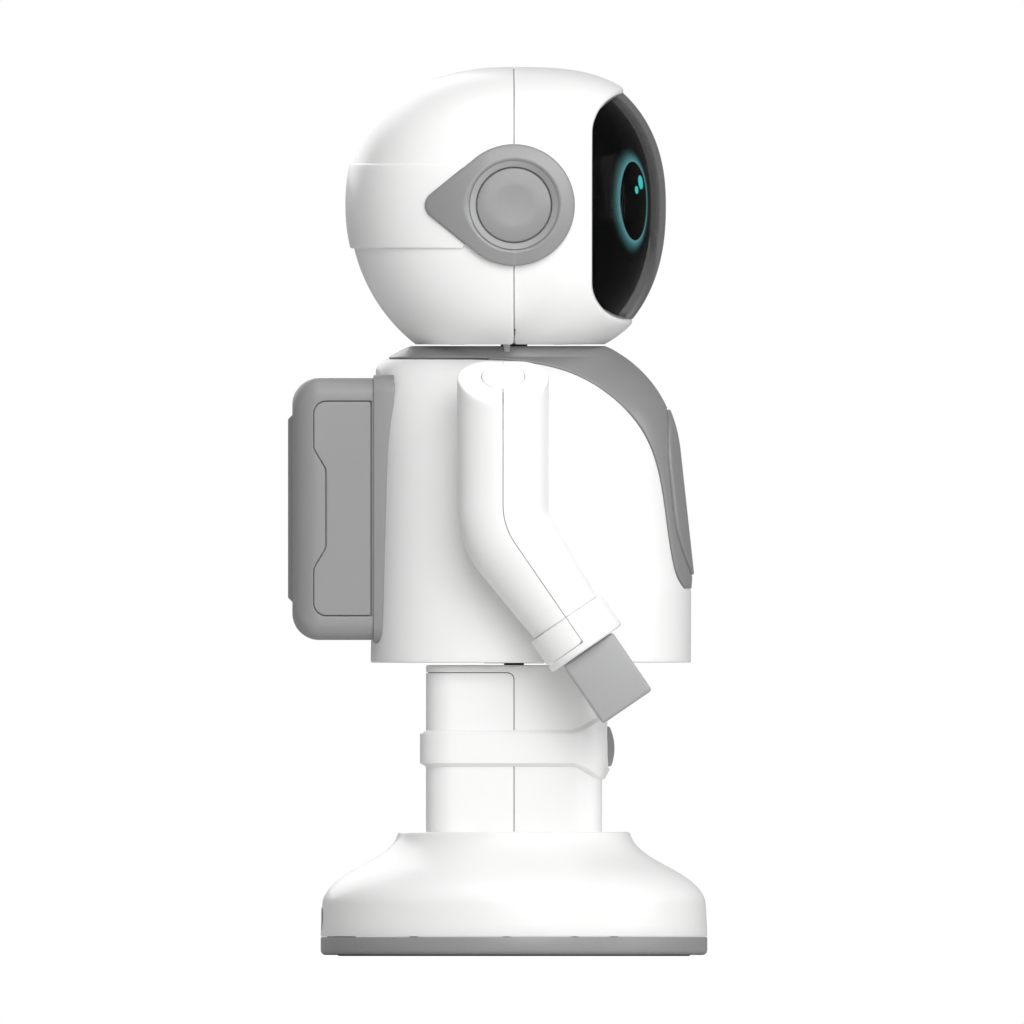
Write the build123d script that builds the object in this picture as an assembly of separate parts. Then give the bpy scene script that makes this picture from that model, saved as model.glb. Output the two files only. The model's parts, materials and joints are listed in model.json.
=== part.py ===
from build123d import *
import os
from math import atan, cos, pi, radians, sin, sqrt, tan

# Desk-top coding robot in the shape of an astronaut, in millimetres.
# +Z is up and the robot faces -Y. The origin is on the ground, under the waist axis.
# Distances called "ahead" are measured towards -Y, and "behind" towards +Y.

# Heights, stacked from the ground up
tray_height = 5.7
bell_height = 31.5          # tray rim to the foot of the legs
leg_height = 50.1
waist_gap = 1.2             # hip top to the hem of the torso
torso_height = 91.2
collar_rise = 3.3
neck_gap = 0.4
head_drop = 41.6            # neck cut up to the middle of the head
head_up = 41.7              # middle of the head to its crown
head_down = 51.1            # the same curve's depth under the middle, cut off by the neck

# Head
head_half_width = 54.0
head_front = 45.8
head_back = 49.5
head_power = 2.3            # 2 is an ellipse, more is squarer
brow_power = 2.9            # upper front quarter, which is squarer
side_power = 2.6            # how the section shrinks towards the ears
ear_flat_share = 0.34       # size of the flat under each ear, as a share of the section
head_wall = 2.2
band_rise = 1.1
band_low = 12.9             # under the middle of the head
band_high = 12.9
band_from = 14.0            # behind the middle of the head

# Visor
visor_edge = 24.0           # ahead of the head's middle
visor_high = 22.8           # top of the straight side, above the middle
visor_low = 23.7
visor_top_radius = 12.1
visor_top_rise = 20.0       # degrees that the opening's top edge climbs forwards
visor_low_radius = 10.5
lens_front = 45.6
lens_up = 44.6
lens_down = 48.7
lens_wall = 1.8
panel_front = 41.4
panel_up = 41.6
panel_down = 45.8
panel_inset = 3.6           # how much narrower than the head at each side
panel_wall = 1.6
eye_spacing = 58.0
eye_rise = 1.5
eye_half_width = 11.0
eye_half_height = 15.5

# Ears
ear_radius = 18.3
ear_rise = 0.3
ear_tip_reach = 26.7        # middle of the ear to the end of its tip
ear_tip_radius = 4.0
ear_thickness = 2.6
ear_dish_radius = 13.5      # mouth of the dish round the button
ear_dish_depth = 1.5
ear_button_radius = 11.2
ear_button_thickness = 2.0
ear_button_travel = 1.0
ear_stem_radius = 2.4
ear_switch_size = 7.0

# Torso
torso_half_width = 47.5     # at the hem
torso_lean = 0.04           # side narrowing per millimetre of height
torso_front = 56.2          # at the hem, before the hem is drawn in
front_lean = 0.109
torso_back = 43.0
back_lean = 0.018
plan_front_power = 2.4
plan_back_power = 2.9
chest_drop = 29.0           # torso's top down to where the chest starts to round over
chest_rise = 37.5
chest_power = 2.35
shoulder_drop = 39.7        # the same for the shoulders
shoulder_rise = 47.5
shoulder_power = 2.5
back_corner = 4.5
torso_wall = 2.2
hem_draw = 1.6              # how far the front hem is drawn in under the bib
bib_rise = 0.7
bib_low = 21.6              # hem to the bottom of the bib
yoke_drop = 3.4             # torso's top down to the yoke's seam at the back
collar_front = 27.2
collar_back = 30.6
collar_half_width = 28.5
chest_panel_low = 4.2       # above the bottom of the bib
chest_panel_height = 50.0
chest_panel_half_width = 21.0
chest_panel_rise = 0.7
chest_panel_thickness = 1.4
floor_thickness = 2.4
floor_lift = 0.5

# Backpack
pack_half_width = 27.0
pack_low = 6.3              # above the hem
pack_height = 78.6
pack_back = 66.5            # behind the waist axis
pack_corner = 9.0
pack_wall = 2.2
lip_rise = 1.0
lip_reach = 42.2
grille_low = 11.4           # above the bottom of the pack
grille_height = 56.1
grille_half_width = 17.5
grille_rise = 1.3
grille_slots = 9
grille_slot_height = 1.8
side_panel_low = 7.4        # above the bottom of the pack
side_panel_height = 64.1
side_panel_reach = 60.0
side_panel_notch = 3.7
side_panel_depth = 1.0
side_panel_gap = 0.35
speaker_radius = 17.0

# Arms
arm_radius = 13.8
arm_wall = 1.8
arm_clear = 0.8             # torso's hem to the arm
shoulder_behind = 3.3
shoulder_drop = 12.9        # torso's top down to the shoulder axis
arm_top = 11.7              # shoulder axis up to the top of the arm
elbow_drop = 37.8           # shoulder axis down to the elbow
elbow_angle = 34.5
elbow_bend = 20.0
forearm_length = 33.2
wrist_radius = 11.45
cuff_radius = 12.6
cuff_length = 11.2
cuff_floor = 3.4
lid_setback = 2.4
facet_angle = 57.0          # slope of the shoulder facet's normal, above the horizontal
facet_drop = 12.9           # top of the arm down to the facet's outer end
cap_radius = 6.55
cap_rise = 7.1              # shoulder axis up to the middle of the cap ring
cap_groove = 0.4
hand_width = 17.6
hand_thickness = 14.6
hand_length = 20.2
hand_corner = 2.0
hand_stub_radius = 6.4
hand_stub_length = 7.0
hub_radius = 9.0
bush_radius = 8.0
arm_shaft_radius = 3.0
hub_seat = 6.0              # how far the hub reaches into the arm

# Legs
leg_half_width = 39.0
leg_half_depth = 26.4
leg_corner = 8.0
leg_wall = 2.0
crotch_width = 7.0
crotch_height = 34.0
hip_thickness = 2.3
knee_height = 25.1          # foot of the legs to the middle of the knee
band_height = 8.6
band_proud = 1.8
pad_height = 20.4
pad_base = 25.8
pad_front = 30.0
pad_flare_from = 17.0
insert_half_width = 9.0
insert_height = 12.6
insert_depth = 1.5
insert_gap = 0.4

# Base
base_half_depth = 58.0
base_straight = 26.0        # straight run across the middle of the oval
neck_half_depth = 34.8
base_rim = 10.0             # height of the nearly upright rim above the tray
bell_wall = 2.4
tray_wall = 2.4
tray_floor = 2.4
tray_fillet = 1.5
pad_inset = 5.0
pad_thickness = 1.2
pad_proud = 0.3
ballast_thickness = 3.0
cell_radius = 9.2
cell_length = 65.0
cell_pitch = 20.5
board_thickness = 1.6
usb_width = 9.0
usb_height = 3.3
usb_depth = 7.4
usb_offset = 16.0
power_radius = 4.0
power_length = 5.0
power_travel = 1.0
power_proud = 0.1

# Turning parts
waist_shaft_radius = 3.0
waist_plate_radius = 9.0
waist_hub_radius = 3.5
neck_shaft_radius = 4.0
neck_flange_radius = 14.0
neck_flange_thickness = 2.0
motor_height = 10.5
bracket_apart = 36.0        # feet of the main board, clear of the rear posts

# Fasteners
screw_head_radius = 2.2
screw_head_height = 1.6
screw_shank_radius = 1.25
screw_length = 8.0
post_radius = 3.6

# Clearances
seam_gap = 0.12             # between mouldings that meet
fit_gap = 0.1               # round a piece that drops into another
running_gap = 0.06          # radial, round a shaft
moving_gap = 0.4            # between bodies that move past each other

# Levels
bell_z = tray_height + bell_height
hip_z = bell_z + leg_height
hem_z = hip_z + waist_gap
torso_top_z = hem_z + torso_height
collar_z = torso_top_z + collar_rise
neck_z = collar_z + neck_gap
head_z = neck_z + head_drop
knee_z = bell_z + knee_height
pack_z = hem_z + pack_low
shoulder_z = torso_top_z - shoulder_drop
bib_z = hem_z + bib_low
arm_x = torso_half_width + arm_clear + arm_radius
ear_z = head_z + ear_rise

pieces = {}


def block(x_span, y_span, z_span):
    size = [high - low for low, high in (x_span, y_span, z_span)]
    return Pos(x_span[0], y_span[0], z_span[0]) * Box(*size, align=(Align.MIN, Align.MIN, Align.MIN))


def rod(start, direction, radius, length):
    across = (1, 0, 0) if abs(direction[0]) < 0.5 else (0, 1, 0)
    place = Plane(origin=start, x_dir=across, z_dir=direction)
    return place * Cylinder(radius, length, align=(Align.CENTER, Align.CENTER, Align.MIN))


def front_plane(x, z):
    """A plane that faces the front, its own X along +X and its own Y up."""
    return Plane(origin=(x, 0, z), x_dir=(1, 0, 0), z_dir=(0, -1, 0))


def side_slab(outline, x_low, x_high):
    """Extrudes a closed outline of (Y, Z) points or edges from x_low to x_high."""
    face = make_face(Plane.YZ.offset(x_low) * outline)
    return extrude(face, x_high - x_low, dir=(1, 0, 0))


def one(shape):
    """The largest solid of a result, so that crumbs of a cut are dropped."""
    return max(shape.solids(), key=lambda s: s.volume)


def super_point(t, ahead, behind, up, down, ahead_up, ahead_down, behind_up, behind_down):
    """A point of a closed curve of four super-elliptic quarters, each with its own power."""
    c, s = cos(t), sin(t)
    if c >= 0:
        u_size, power = ahead, ahead_up if s >= 0 else ahead_down
    else:
        u_size, power = behind, behind_up if s >= 0 else behind_down
    v_size = up if s >= 0 else down
    u = u_size * abs(c) ** (2 / power) * (1 if c >= 0 else -1)
    v = v_size * abs(s) ** (2 / power) * (1 if s >= 0 else -1)
    return u, v


def closed_wire(points):
    return Wire([Edge.make_spline(points, periodic=True)])


def turns(count, offset=0.37):
    return [offset + 2 * pi * i / count for i in range(count)]


# ---------------------------------------------------------------- head

def head_form(grow, ahead, up, down, brow, narrower=0.0):
    """Sections parallel to the side view, shrinking towards both ears along a super-ellipse."""
    half_width = head_half_width + grow - narrower
    last = pi / 2 - atan(ear_flat_share ** (side_power / 2) / sqrt(1 - ear_flat_share ** side_power))
    wires = []
    stations = 17
    for i in range(stations):
        angle = last * (2 * i / (stations - 1) - 1)
        x = half_width * abs(sin(angle)) ** (2 / side_power) * (1 if angle >= 0 else -1)
        share = cos(angle) ** (2 / side_power)
        points = []
        for t in turns(44):
            u, v = super_point(t, ahead + grow, head_back + grow, up + grow, down + grow,
                               brow, head_power, head_power, head_power)
            points.append((x, -u * share, head_z + v * share))
        wires.append(closed_wire(points))
    return Solid.make_loft(wires)


def visor_slab(inset):
    """The visor opening seen from the side, taken right across the head."""
    edge, top = -visor_edge - inset, head_z + visor_high
    low = head_z - visor_low
    top_radius, low_radius = visor_top_radius - inset, visor_low_radius - inset
    turn = radians(90 - visor_top_rise)
    arc_end = (edge - top_radius * (1 - cos(turn)), top + top_radius * sin(turn))
    reach = head_front + 30
    far_top = (-reach, arc_end[1] + (arc_end[0] + reach) * tan(radians(visor_top_rise)))
    mid_turn = turn / 2
    top_mid = (edge - top_radius * (1 - cos(mid_turn)), top + top_radius * sin(mid_turn))
    low_mid = (edge - low_radius * (1 - cos(pi / 4)), low - low_radius * sin(pi / 4))
    low_end = (edge - low_radius, low - low_radius)
    outline = (
        Line((edge, low), (edge, top))
        + ThreePointArc((edge, top), top_mid, arc_end)
        + Polyline(arc_end, far_top, (-reach, low_end[1]), low_end)
        + ThreePointArc(low_end, low_mid, (edge, low))
    )
    return side_slab(outline, -head_half_width - 20, head_half_width + 20)


def teardrop(side, grow, x_from, x_to):
    """A round disc with a rounded tip behind it, as a bar along X."""
    low, high = sorted((side * x_from, side * x_to))
    big, tip = ear_radius + grow, ear_tip_radius + grow
    tip_y = ear_tip_reach - ear_tip_radius
    lean = (big - tip) / tip_y
    up, along = sqrt(1 - lean ** 2), lean
    outline = (
        ThreePointArc((big * along, ear_z + big * up), (-big, ear_z), (big * along, ear_z - big * up))
        + Line((big * along, ear_z - big * up), (tip_y + tip * along, ear_z - tip * up))
        + ThreePointArc((tip_y + tip * along, ear_z - tip * up), (tip_y + tip, ear_z),
                        (tip_y + tip * along, ear_z + tip * up))
        + Line((tip_y + tip * along, ear_z + tip * up), (big * along, ear_z + big * up))
    )
    return side_slab(outline, low, high)


def make_head():
    far = head_half_width + 30
    helmet = head_form(0, head_front, head_up, head_down, brow_power)
    inside = head_form(-head_wall, head_front, head_up, head_down, brow_power)
    above_neck = block((-far, far), (-far, far), (neck_z, head_z + far))
    opening = visor_slab(0)
    ear_hole = ear_button_radius + fit_gap + 1.0
    ear_bores = [rod((side * 30, 0, ear_z), (side, 0, 0), ear_hole + fit_gap, 60) for side in (-1, 1)]

    shell = (helmet - inside) & above_neck
    for bore in ear_bores:
        shell -= bore
    front_half = block((-far, far), (-far, -seam_gap / 2), (0, head_z + far))
    back_half = block((-far, far), (seam_gap / 2, far), (0, head_z + far))

    # Base plate, a plug that closes the neck, and the flange that turns it
    plug = head_form(-head_wall - fit_gap, head_front, head_up, head_down, brow_power)
    plate_top = neck_z + floor_thickness
    plate = plug & block((-far, far), (-far, far), (neck_z, plate_top))
    plate -= rod((0, 0, neck_z - 1), (0, 0, 1), neck_shaft_radius + fit_gap, floor_thickness + 2)

    # Bosses of the back shell hold the plate's screws, and the front shell's too
    post_top = plate_top + screw_length
    front_shell = (shell & front_half) - opening
    back_shell = shell & back_half
    headband = head_form(band_rise, head_front, head_up, head_down, brow_power)
    headband &= block((-far, far), (band_from, far), (head_z - band_low, head_z + band_high))
    headband -= helmet
    for side in (-1, 1):
        headband -= teardrop(side, fit_gap, 20, far)
    back_shell += headband
    screws = []
    for x, y in ((-19, 17), (19, 17), (-19, -14), (19, -14)):
        post = rod((x, y, plate_top + fit_gap), (0, 0, 1), post_radius, screw_length)
        rib = block((x - 1, x + 1), (y, y + 16) if y > 0 else (y - 12, y), (plate_top + fit_gap, post_top))
        rib &= inside
        hole = rod((x, y, neck_z - 1), (0, 0, 1), screw_shank_radius + fit_gap, screw_length + 1.5)
        sink = rod((x, y, neck_z - 1), (0, 0, 1), screw_head_radius + fit_gap, screw_head_height + 1)
        if y > 0:
            back_shell = (back_shell + post + rib) - hole
        else:
            front_shell = (front_shell + post + rib) - hole
        plate = plate - hole - sink
        head = rod((x, y, neck_z), (0, 0, 1), screw_head_radius, screw_head_height)
        shank = rod((x, y, neck_z), (0, 0, 1), screw_shank_radius, screw_length)
        screws.append(head + shank)
    pieces["head_front_shell"] = one(front_shell)
    pieces["head_back_shell"] = one(back_shell)
    pieces["head_base_plate"] = one(plate)
    pieces["head_screws"] = screws

    flange_z = plate_top
    horn = rod((0, 0, flange_z), (0, 0, 1), neck_flange_radius, neck_flange_thickness)
    horn += rod((0, 0, torso_top_z - 6), (0, 0, 1), neck_shaft_radius, flange_z - torso_top_z + 7)
    pieces["neck_flange"] = one(horn)

    # Smoked lens, and the dark panel behind it with an oval window for each eye
    glass = head_form(0, lens_front, lens_up, lens_down, head_power)
    glass_inside = head_form(-lens_wall, lens_front, lens_up, lens_down, head_power)
    lens = (glass - glass_inside) & visor_slab(seam_gap)
    pieces["visor_lens"] = one(lens)

    panel_out = head_form(0, panel_front, panel_up, panel_down, head_power, panel_inset)
    panel_in = head_form(-panel_wall, panel_front, panel_up, panel_down, head_power, panel_inset)
    panel_room = visor_slab(seam_gap)
    skin = panel_out - panel_in
    panel = skin & panel_room
    eye_x, eye_z = eye_spacing / 2, head_z + eye_rise
    eyes = {}
    for name, side in (("right", -1), ("left", 1)):
        middle = front_plane(side * eye_x, eye_z)
        window = extrude(middle * Ellipse(eye_half_width, eye_half_height), head_front + 10)
        smaller = extrude(middle * Ellipse(eye_half_width - fit_gap, eye_half_height - fit_gap),
                          head_front + 10)
        eyes[name] = one(skin & smaller & panel_room)
        panel -= window
    pieces["face_panel"] = one(panel)
    for name, eye in eyes.items():
        pieces[f"{name}_eye"] = eye

    # Board across the face, with a light behind each eye
    board_y = -visor_edge + 6
    board = block((-34, 34), (board_y, board_y + board_thickness), (eye_z - 15, eye_z + 15))
    pieces["face_board"] = one(board)
    lights = []
    for side in (-1, 1):
        lights.append(rod((side * eye_x, board_y, eye_z), (0, -1, 0), 5, 3))
    pieces["eye_lights"] = lights

    # Ears: a cap that follows the head, a dished round button in it, and its switch inside
    cap_form = head_form(ear_thickness, head_front, head_up, head_down, brow_power)
    flat_x = head_half_width * (1 - ear_flat_share ** side_power) ** (1 / side_power)
    face_x = flat_x + ear_thickness
    button_face = face_x - ear_dish_depth
    button_back = button_face - ear_button_thickness
    for name, side in (("right", -1), ("left", 1)):
        sign = (side, 0, 0)
        cap = (cap_form & teardrop(side, 0, 20, far)) - helmet
        sleeve = rod((side * (flat_x - head_wall - 1), 0, ear_z), sign, ear_hole, head_wall + 1 + ear_dish_depth)
        cap += sleeve
        dish_plane = Plane(origin=(side * face_x, 0, ear_z), x_dir=(0, 1, 0), z_dir=(-side, 0, 0))
        mouth = ear_dish_radius
        cap -= Solid.make_cone(mouth, ear_button_radius + fit_gap, ear_dish_depth, dish_plane)
        cap -= rod((side * face_x, 0, ear_z), sign, mouth, 20)
        cap -= rod((side * 20, 0, ear_z), sign, ear_button_radius + fit_gap, 60)
        pieces[f"{name}_ear_cap"] = one(cap)

        button = rod((side * button_back, 0, ear_z), sign, ear_button_radius, ear_button_thickness)
        stem_length = 5.0
        button += rod((side * (button_back - stem_length), 0, ear_z), sign, ear_stem_radius, stem_length + 0.5)
        pieces[f"{name}_ear_button"] = one(button)
    switch_face = button_back - stem_length - ear_button_travel - moving_gap
    switches = []
    for side in (-1, 1):
        half = ear_switch_size / 2
        span = sorted((side * switch_face, side * (switch_face - 5)))
        switches.append(one(block(span, (-half, half), (ear_z - half, ear_z + half))))
    pieces["ear_switches"] = switches


# ---------------------------------------------------------------- torso

def torso_size(z):
    """Front, back and side reach of the torso's plan at height z."""
    rise = z - hem_z
    ahead = torso_front - front_lean * rise
    low_front = max(0.0, 1 - rise / bib_low)
    ahead -= 1.5 * hem_draw * low_front + bib_rise
    over = max(0.0, rise - (torso_height - chest_drop)) / chest_rise
    ahead *= (1 - over ** chest_power) ** (1 / chest_power)
    side = torso_half_width - torso_lean * rise
    over = max(0.0, rise - (torso_height - shoulder_drop)) / shoulder_rise
    side *= (1 - over ** shoulder_power) ** (1 / shoulder_power)
    behind = torso_back - back_lean * rise
    over = max(0.0, z - (torso_top_z - back_corner))
    behind -= back_corner - sqrt(max(0.0, back_corner ** 2 - over ** 2))
    return ahead, behind, side


def plan_wire(ahead, behind, side, z):
    points = []
    for t in turns(48):
        u, v = super_point(t, ahead, behind, side, side,
                           plan_front_power, plan_front_power, plan_back_power, plan_back_power)
        points.append((v, -u, z))
    return closed_wire(points)


def torso_form(grow, z_low, z_high):
    """Plan sections up the torso, closest together where it rounds over at the top."""
    corner_z = torso_top_z - back_corner
    shares = (0, 0.1, 0.2, 0.3, 0.42, 0.54, 0.64, 0.7, 0.76, 0.81, 0.86, 0.9, 0.94, 0.97, 1)
    levels = [hem_z + share * (corner_z - hem_z) for share in shares]
    levels += [corner_z + back_corner * sin(radians(a)) for a in (20, 40, 60, 90)]
    wires = []
    for z in levels:
        ahead, behind, side = torso_size(z)
        wires.append(plan_wire(ahead + grow, behind + grow, side + grow, z))
    form = Solid.make_loft(wires, ruled=True)
    far = 200
    return form & block((-far, far), (-far, far), (z_low, z_high))


def bib_slab(inset):
    """Everything ahead of and above the edge of the yoke, seen from the side."""
    top = torso_top_z + 20
    edge = [(-2 * torso_back, yoke_drop), (-20, yoke_drop), (0, yoke_drop + 0.1), (17.2, 5.0), (30.1, 12.2),
            (39.6, 23.4), (45.2, 42.4), (48.2, 62.2), (49.6, 66.6), (51.6, 69.6)]
    points = [(-ahead - inset * 0.5, torso_top_z - drop + inset) for ahead, drop in edge]
    outline = Spline(*points)
    last = points[-1]
    outline += Polyline(last, (-150, last[1]), (-150, top), (points[0][0], top), points[0])
    return side_slab(outline, -100, 100)


def make_torso():
    far = 200
    outer = torso_form(0, 0, far * 2)
    inner = torso_form(-torso_wall, 0, torso_top_z - torso_wall)
    shell = outer - inner
    yoke_room = bib_slab(0)
    shell -= yoke_room

    # Collar, which the head turns above
    ahead, behind, side = torso_size(torso_top_z)
    collar = Solid.make_loft([
        plan_wire(ahead, behind, side, torso_top_z),
        plan_wire(collar_front, collar_back, collar_half_width, collar_z),
    ])
    yoke = (torso_form(bib_rise, 0, far * 2) - inner) & bib_slab(seam_gap)
    yoke = one(yoke) + collar
    neck_hole = rod((0, 0, torso_top_z - 20), (0, 0, 1), neck_shaft_radius + moving_gap, 60)
    yoke -= neck_hole
    shell -= neck_hole

    # Raised panel let into the bib
    panel_z = bib_z + chest_panel_low
    panel_plan = front_plane(0, panel_z + chest_panel_height / 2)
    corner = chest_panel_half_width - 3

    def panel_bar(grow):
        size = RectangleRounded(2 * (chest_panel_half_width + grow), chest_panel_height + 2 * grow, corner + grow)
        return extrude(panel_plan * size, 100)

    panel_top = torso_form(bib_rise + chest_panel_rise, 0, far * 2)
    panel_seat = torso_form(bib_rise + chest_panel_rise - chest_panel_thickness, 0, far * 2)
    chest_panel = (panel_top - panel_seat) & panel_bar(-fit_gap)
    yoke -= panel_bar(0) - panel_seat
    pieces["chest_yoke"] = one(yoke)
    pieces["chest_panel"] = one(chest_panel)

    # Floor that closes the hem and carries the waist hub
    floor_z = hem_z + floor_lift
    floor = torso_form(-torso_wall - fit_gap, floor_z, floor_z + floor_thickness)
    hub_hole = rod((0, 0, hem_z - 5), (0, 0, 1), waist_hub_radius + fit_gap, 20)
    floor -= hub_hole
    plate_low = hip_z + 0.5
    hub = rod((0, 0, plate_low), (0, 0, 1), waist_plate_radius, floor_z - plate_low)
    hub += rod((0, 0, plate_low), (0, 0, 1), waist_hub_radius, floor_z - plate_low + floor_thickness + 2)
    hub += rod((0, 0, floor_z + floor_thickness), (0, 0, 1), waist_plate_radius, 2)
    hub += rod((0, 0, hip_z - 6.5), (0, 0, 1), waist_shaft_radius, plate_low - hip_z + 7)
    pieces["waist_hub"] = one(hub)

    # Main board on the floor's posts, standing across the back of the chest
    board_low = floor_z + floor_thickness + 8
    board = block((-30, 30), (14, 14 + board_thickness), (board_low, board_low + 44))
    brackets = []
    for x in (-bracket_apart / 2, bracket_apart / 2):
        brackets.append(one(block((x - 3, x + 3), (14 + board_thickness, 14 + board_thickness + 3),
                                  (floor_z + floor_thickness, board_low + 6))))
    pieces["main_board"] = one(board)
    for bracket in brackets:
        floor += bracket

    screws = []
    for x in (-28, 28):
        for y in (-22, 20):
            post = rod((x, y, floor_z + floor_thickness + fit_gap), (0, 0, 1), post_radius, screw_length)
            inward = torso_form(-torso_wall / 2, 0, far * 2)
            reach = (x, x + 18) if x > 0 else (x - 18, x)
            rib = block(reach, (y - 1, y + 1), (floor_z + floor_thickness + fit_gap,
                                                floor_z + floor_thickness + fit_gap + screw_length))
            shell += (post + rib) & inward
            hole = rod((x, y, floor_z - 1), (0, 0, 1), screw_shank_radius + fit_gap, screw_length + 1.5)
            sink = rod((x, y, floor_z - 1), (0, 0, 1), screw_head_radius + fit_gap, screw_head_height + 1)
            shell -= hole
            floor = floor - hole - sink
            screws.append(rod((x, y, floor_z), (0, 0, 1), screw_head_radius, screw_head_height)
                          + rod((x, y, floor_z), (0, 0, 1), screw_shank_radius, screw_length))
    pieces["torso_floor"] = one(floor)
    pieces["torso_floor_screws"] = screws

    # Motors: one under the collar for the head and one for each arm
    motor_top = torso_top_z - torso_wall - fit_gap
    neck_motor = block((-12, 12), (-14, 22), (motor_top - 24, motor_top))
    neck_motor -= rod((0, 0, torso_top_z - 7), (0, 0, 1), neck_shaft_radius + running_gap, 40)
    pieces["neck_motor"] = one(neck_motor)
    shoulder_y = shoulder_behind
    for name, side in (("right", -1), ("left", 1)):
        sign = (side, 0, 0)
        motor_x = sorted((side * 15, side * 31))
        motor = block(motor_x, (shoulder_y - 9, shoulder_y + 14), (shoulder_z - 20, shoulder_z + 6))
        axle = rod((side * 22, shoulder_y, shoulder_z), sign, arm_shaft_radius + running_gap, 40)
        motor -= axle
        pieces[f"{name}_shoulder_motor"] = one(motor)
        bush_end = torso_half_width + arm_clear - 3.3 - moving_gap
        bush = rod((side * 32, shoulder_y, shoulder_z), sign, bush_radius, bush_end - 32)
        bush -= axle
        pieces[f"{name}_shoulder_bush"] = one(bush)
        shell -= rod((side * 32, shoulder_y, shoulder_z), sign, bush_radius + fit_gap, 30)
    return shell


def make_pack(shell):
    top = pack_z + pack_height
    box = block((-pack_half_width, pack_half_width), (0, pack_back), (pack_z, top))
    far_edges = [e for e in box.edges() if e.center().Y > pack_back - 0.1]
    box = fillet(far_edges, pack_corner - 1)
    along = [e for e in box.edges() if e.length > 20 and abs(e.tangent_at(0.5).Y) > 0.9]
    box = fillet(along, 3.0)
    lip = block((-pack_half_width - lip_rise, pack_half_width + lip_rise), (0, lip_reach),
                (pack_z - lip_rise, top + lip_rise))
    lip = fillet(lip.edges().filter_by(Axis.Y), 4.0)
    hollow = block((-pack_half_width + pack_wall, pack_half_width - pack_wall), (0, pack_back - pack_wall),
                   (pack_z + pack_wall, top - pack_wall))
    inner_edges = [e for e in hollow.edges() if e.center().Y > pack_back - pack_wall - 0.1]
    hollow = fillet(inner_edges, pack_corner - 1 - pack_wall)
    touching = torso_form(seam_gap, 0, 400)
    pack = (box + lip) - hollow - touching

    # Back grille, a raised plate with slots in front of the speaker
    grille_z = (pack_z + grille_low, pack_z + grille_low + grille_height)
    grille = block((-grille_half_width, grille_half_width), (pack_back - pack_wall, pack_back + grille_rise),
                   grille_z)
    grille = chamfer([e for e in grille.edges() if e.center().Y > pack_back + grille_rise - 0.01], grille_rise)
    window = block((-grille_half_width - fit_gap, grille_half_width + fit_gap),
                   (pack_back - pack_wall - 1, pack_back + 1), (grille_z[0] - fit_gap, grille_z[1] + fit_gap))
    pitch = 2 * grille_slot_height
    middle_z = (grille_z[0] + grille_z[1]) / 2
    for i in range(grille_slots):
        z = middle_z + (i - (grille_slots - 1) / 2) * pitch
        off = (z - middle_z) / (grille_slots * pitch / 2)
        half = (grille_half_width - 4) * sqrt(max(0.1, 1 - 0.8 * off ** 2))
        slot = block((-half, half), (pack_back - 10, pack_back + 10),
                     (z - grille_slot_height / 2, z + grille_slot_height / 2))
        grille -= slot
    pack -= window
    pieces["back_grille"] = one(grille)

    speaker_y = pack_back - pack_wall - 1.0
    speaker = rod((0, speaker_y, middle_z), (0, -1, 0), speaker_radius, 3)
    cone = Plane(origin=(0, speaker_y - 3, middle_z), x_dir=(1, 0, 0), z_dir=(0, -1, 0))
    speaker += Solid.make_cone(speaker_radius - 2, 9, 7, cone)
    pieces["speaker"] = one(speaker)
    # The speaker's rim is held by a frame on the pack's back wall
    frame = rod((0, speaker_y + 1.0, middle_z), (0, -1, 0), speaker_radius + 2, 5)
    frame -= rod((0, speaker_y + 2, middle_z), (0, -1, 0), speaker_radius + fit_gap, 8)
    wall_back = block((-pack_half_width + 1, pack_half_width - 1), (speaker_y - 4, pack_back - pack_wall),
                      (pack_z + 1, top - 1))
    bridge_height = grille_height / 2 + 3
    bridges = block((-2, 2), (speaker_y - 3, pack_back - 1), (middle_z - bridge_height, middle_z + bridge_height))
    bridges -= rod((0, speaker_y + 10, middle_z), (0, -1, 0), speaker_radius + 1, 30)
    bridges -= block((-3, 3), (pack_back - pack_wall - 0.05, pack_back + 5),
                     (grille_z[0] - 2 * fit_gap, grille_z[1] + 2 * fit_gap))
    pack += (frame & wall_back) + bridges

    # Side panels, each let into the pack's side
    panel_z = (pack_z + side_panel_low, pack_z + side_panel_low + side_panel_height)
    notch = side_panel_reach - side_panel_notch
    mid = (panel_z[0] + panel_z[1]) / 2
    rows = ((side_panel_reach, 18.0), (notch, 11.8))
    corner = 3.6

    def panel_bar(grow, x_span):
        low, high = panel_z[0] - grow, panel_z[1] + grow
        near = lip_reach + 0.8 - grow
        back = side_panel_reach + grow
        inner = notch + grow
        drop = corner + grow
        outline = Polyline((near, low), (back - drop, low))
        outline += ThreePointArc((back - drop, low), (back - drop * 0.293, low + drop * 0.293), (back, low + drop))
        outline += Polyline((back, low + drop), (back, mid - rows[0][1]), (inner, mid - rows[1][1]),
                            (inner, mid + rows[1][1]), (back, mid + rows[0][1]), (back, high - drop))
        outline += ThreePointArc((back, high - drop), (back - drop * 0.293, high - drop * 0.293), (back - drop, high))
        outline += Polyline((back - drop, high), (near, high), (near, low))
        return side_slab(outline, *x_span)

    for name, side in (("right", -1), ("left", 1)):
        seat = sorted((side * (pack_half_width - side_panel_depth), side * (pack_half_width + 5)))
        pack -= panel_bar(side_panel_gap, seat)
        span = sorted((side * (pack_half_width - side_panel_depth), side * pack_half_width))
        pieces[f"{name}_pack_panel"] = one(panel_bar(0, span))

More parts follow.
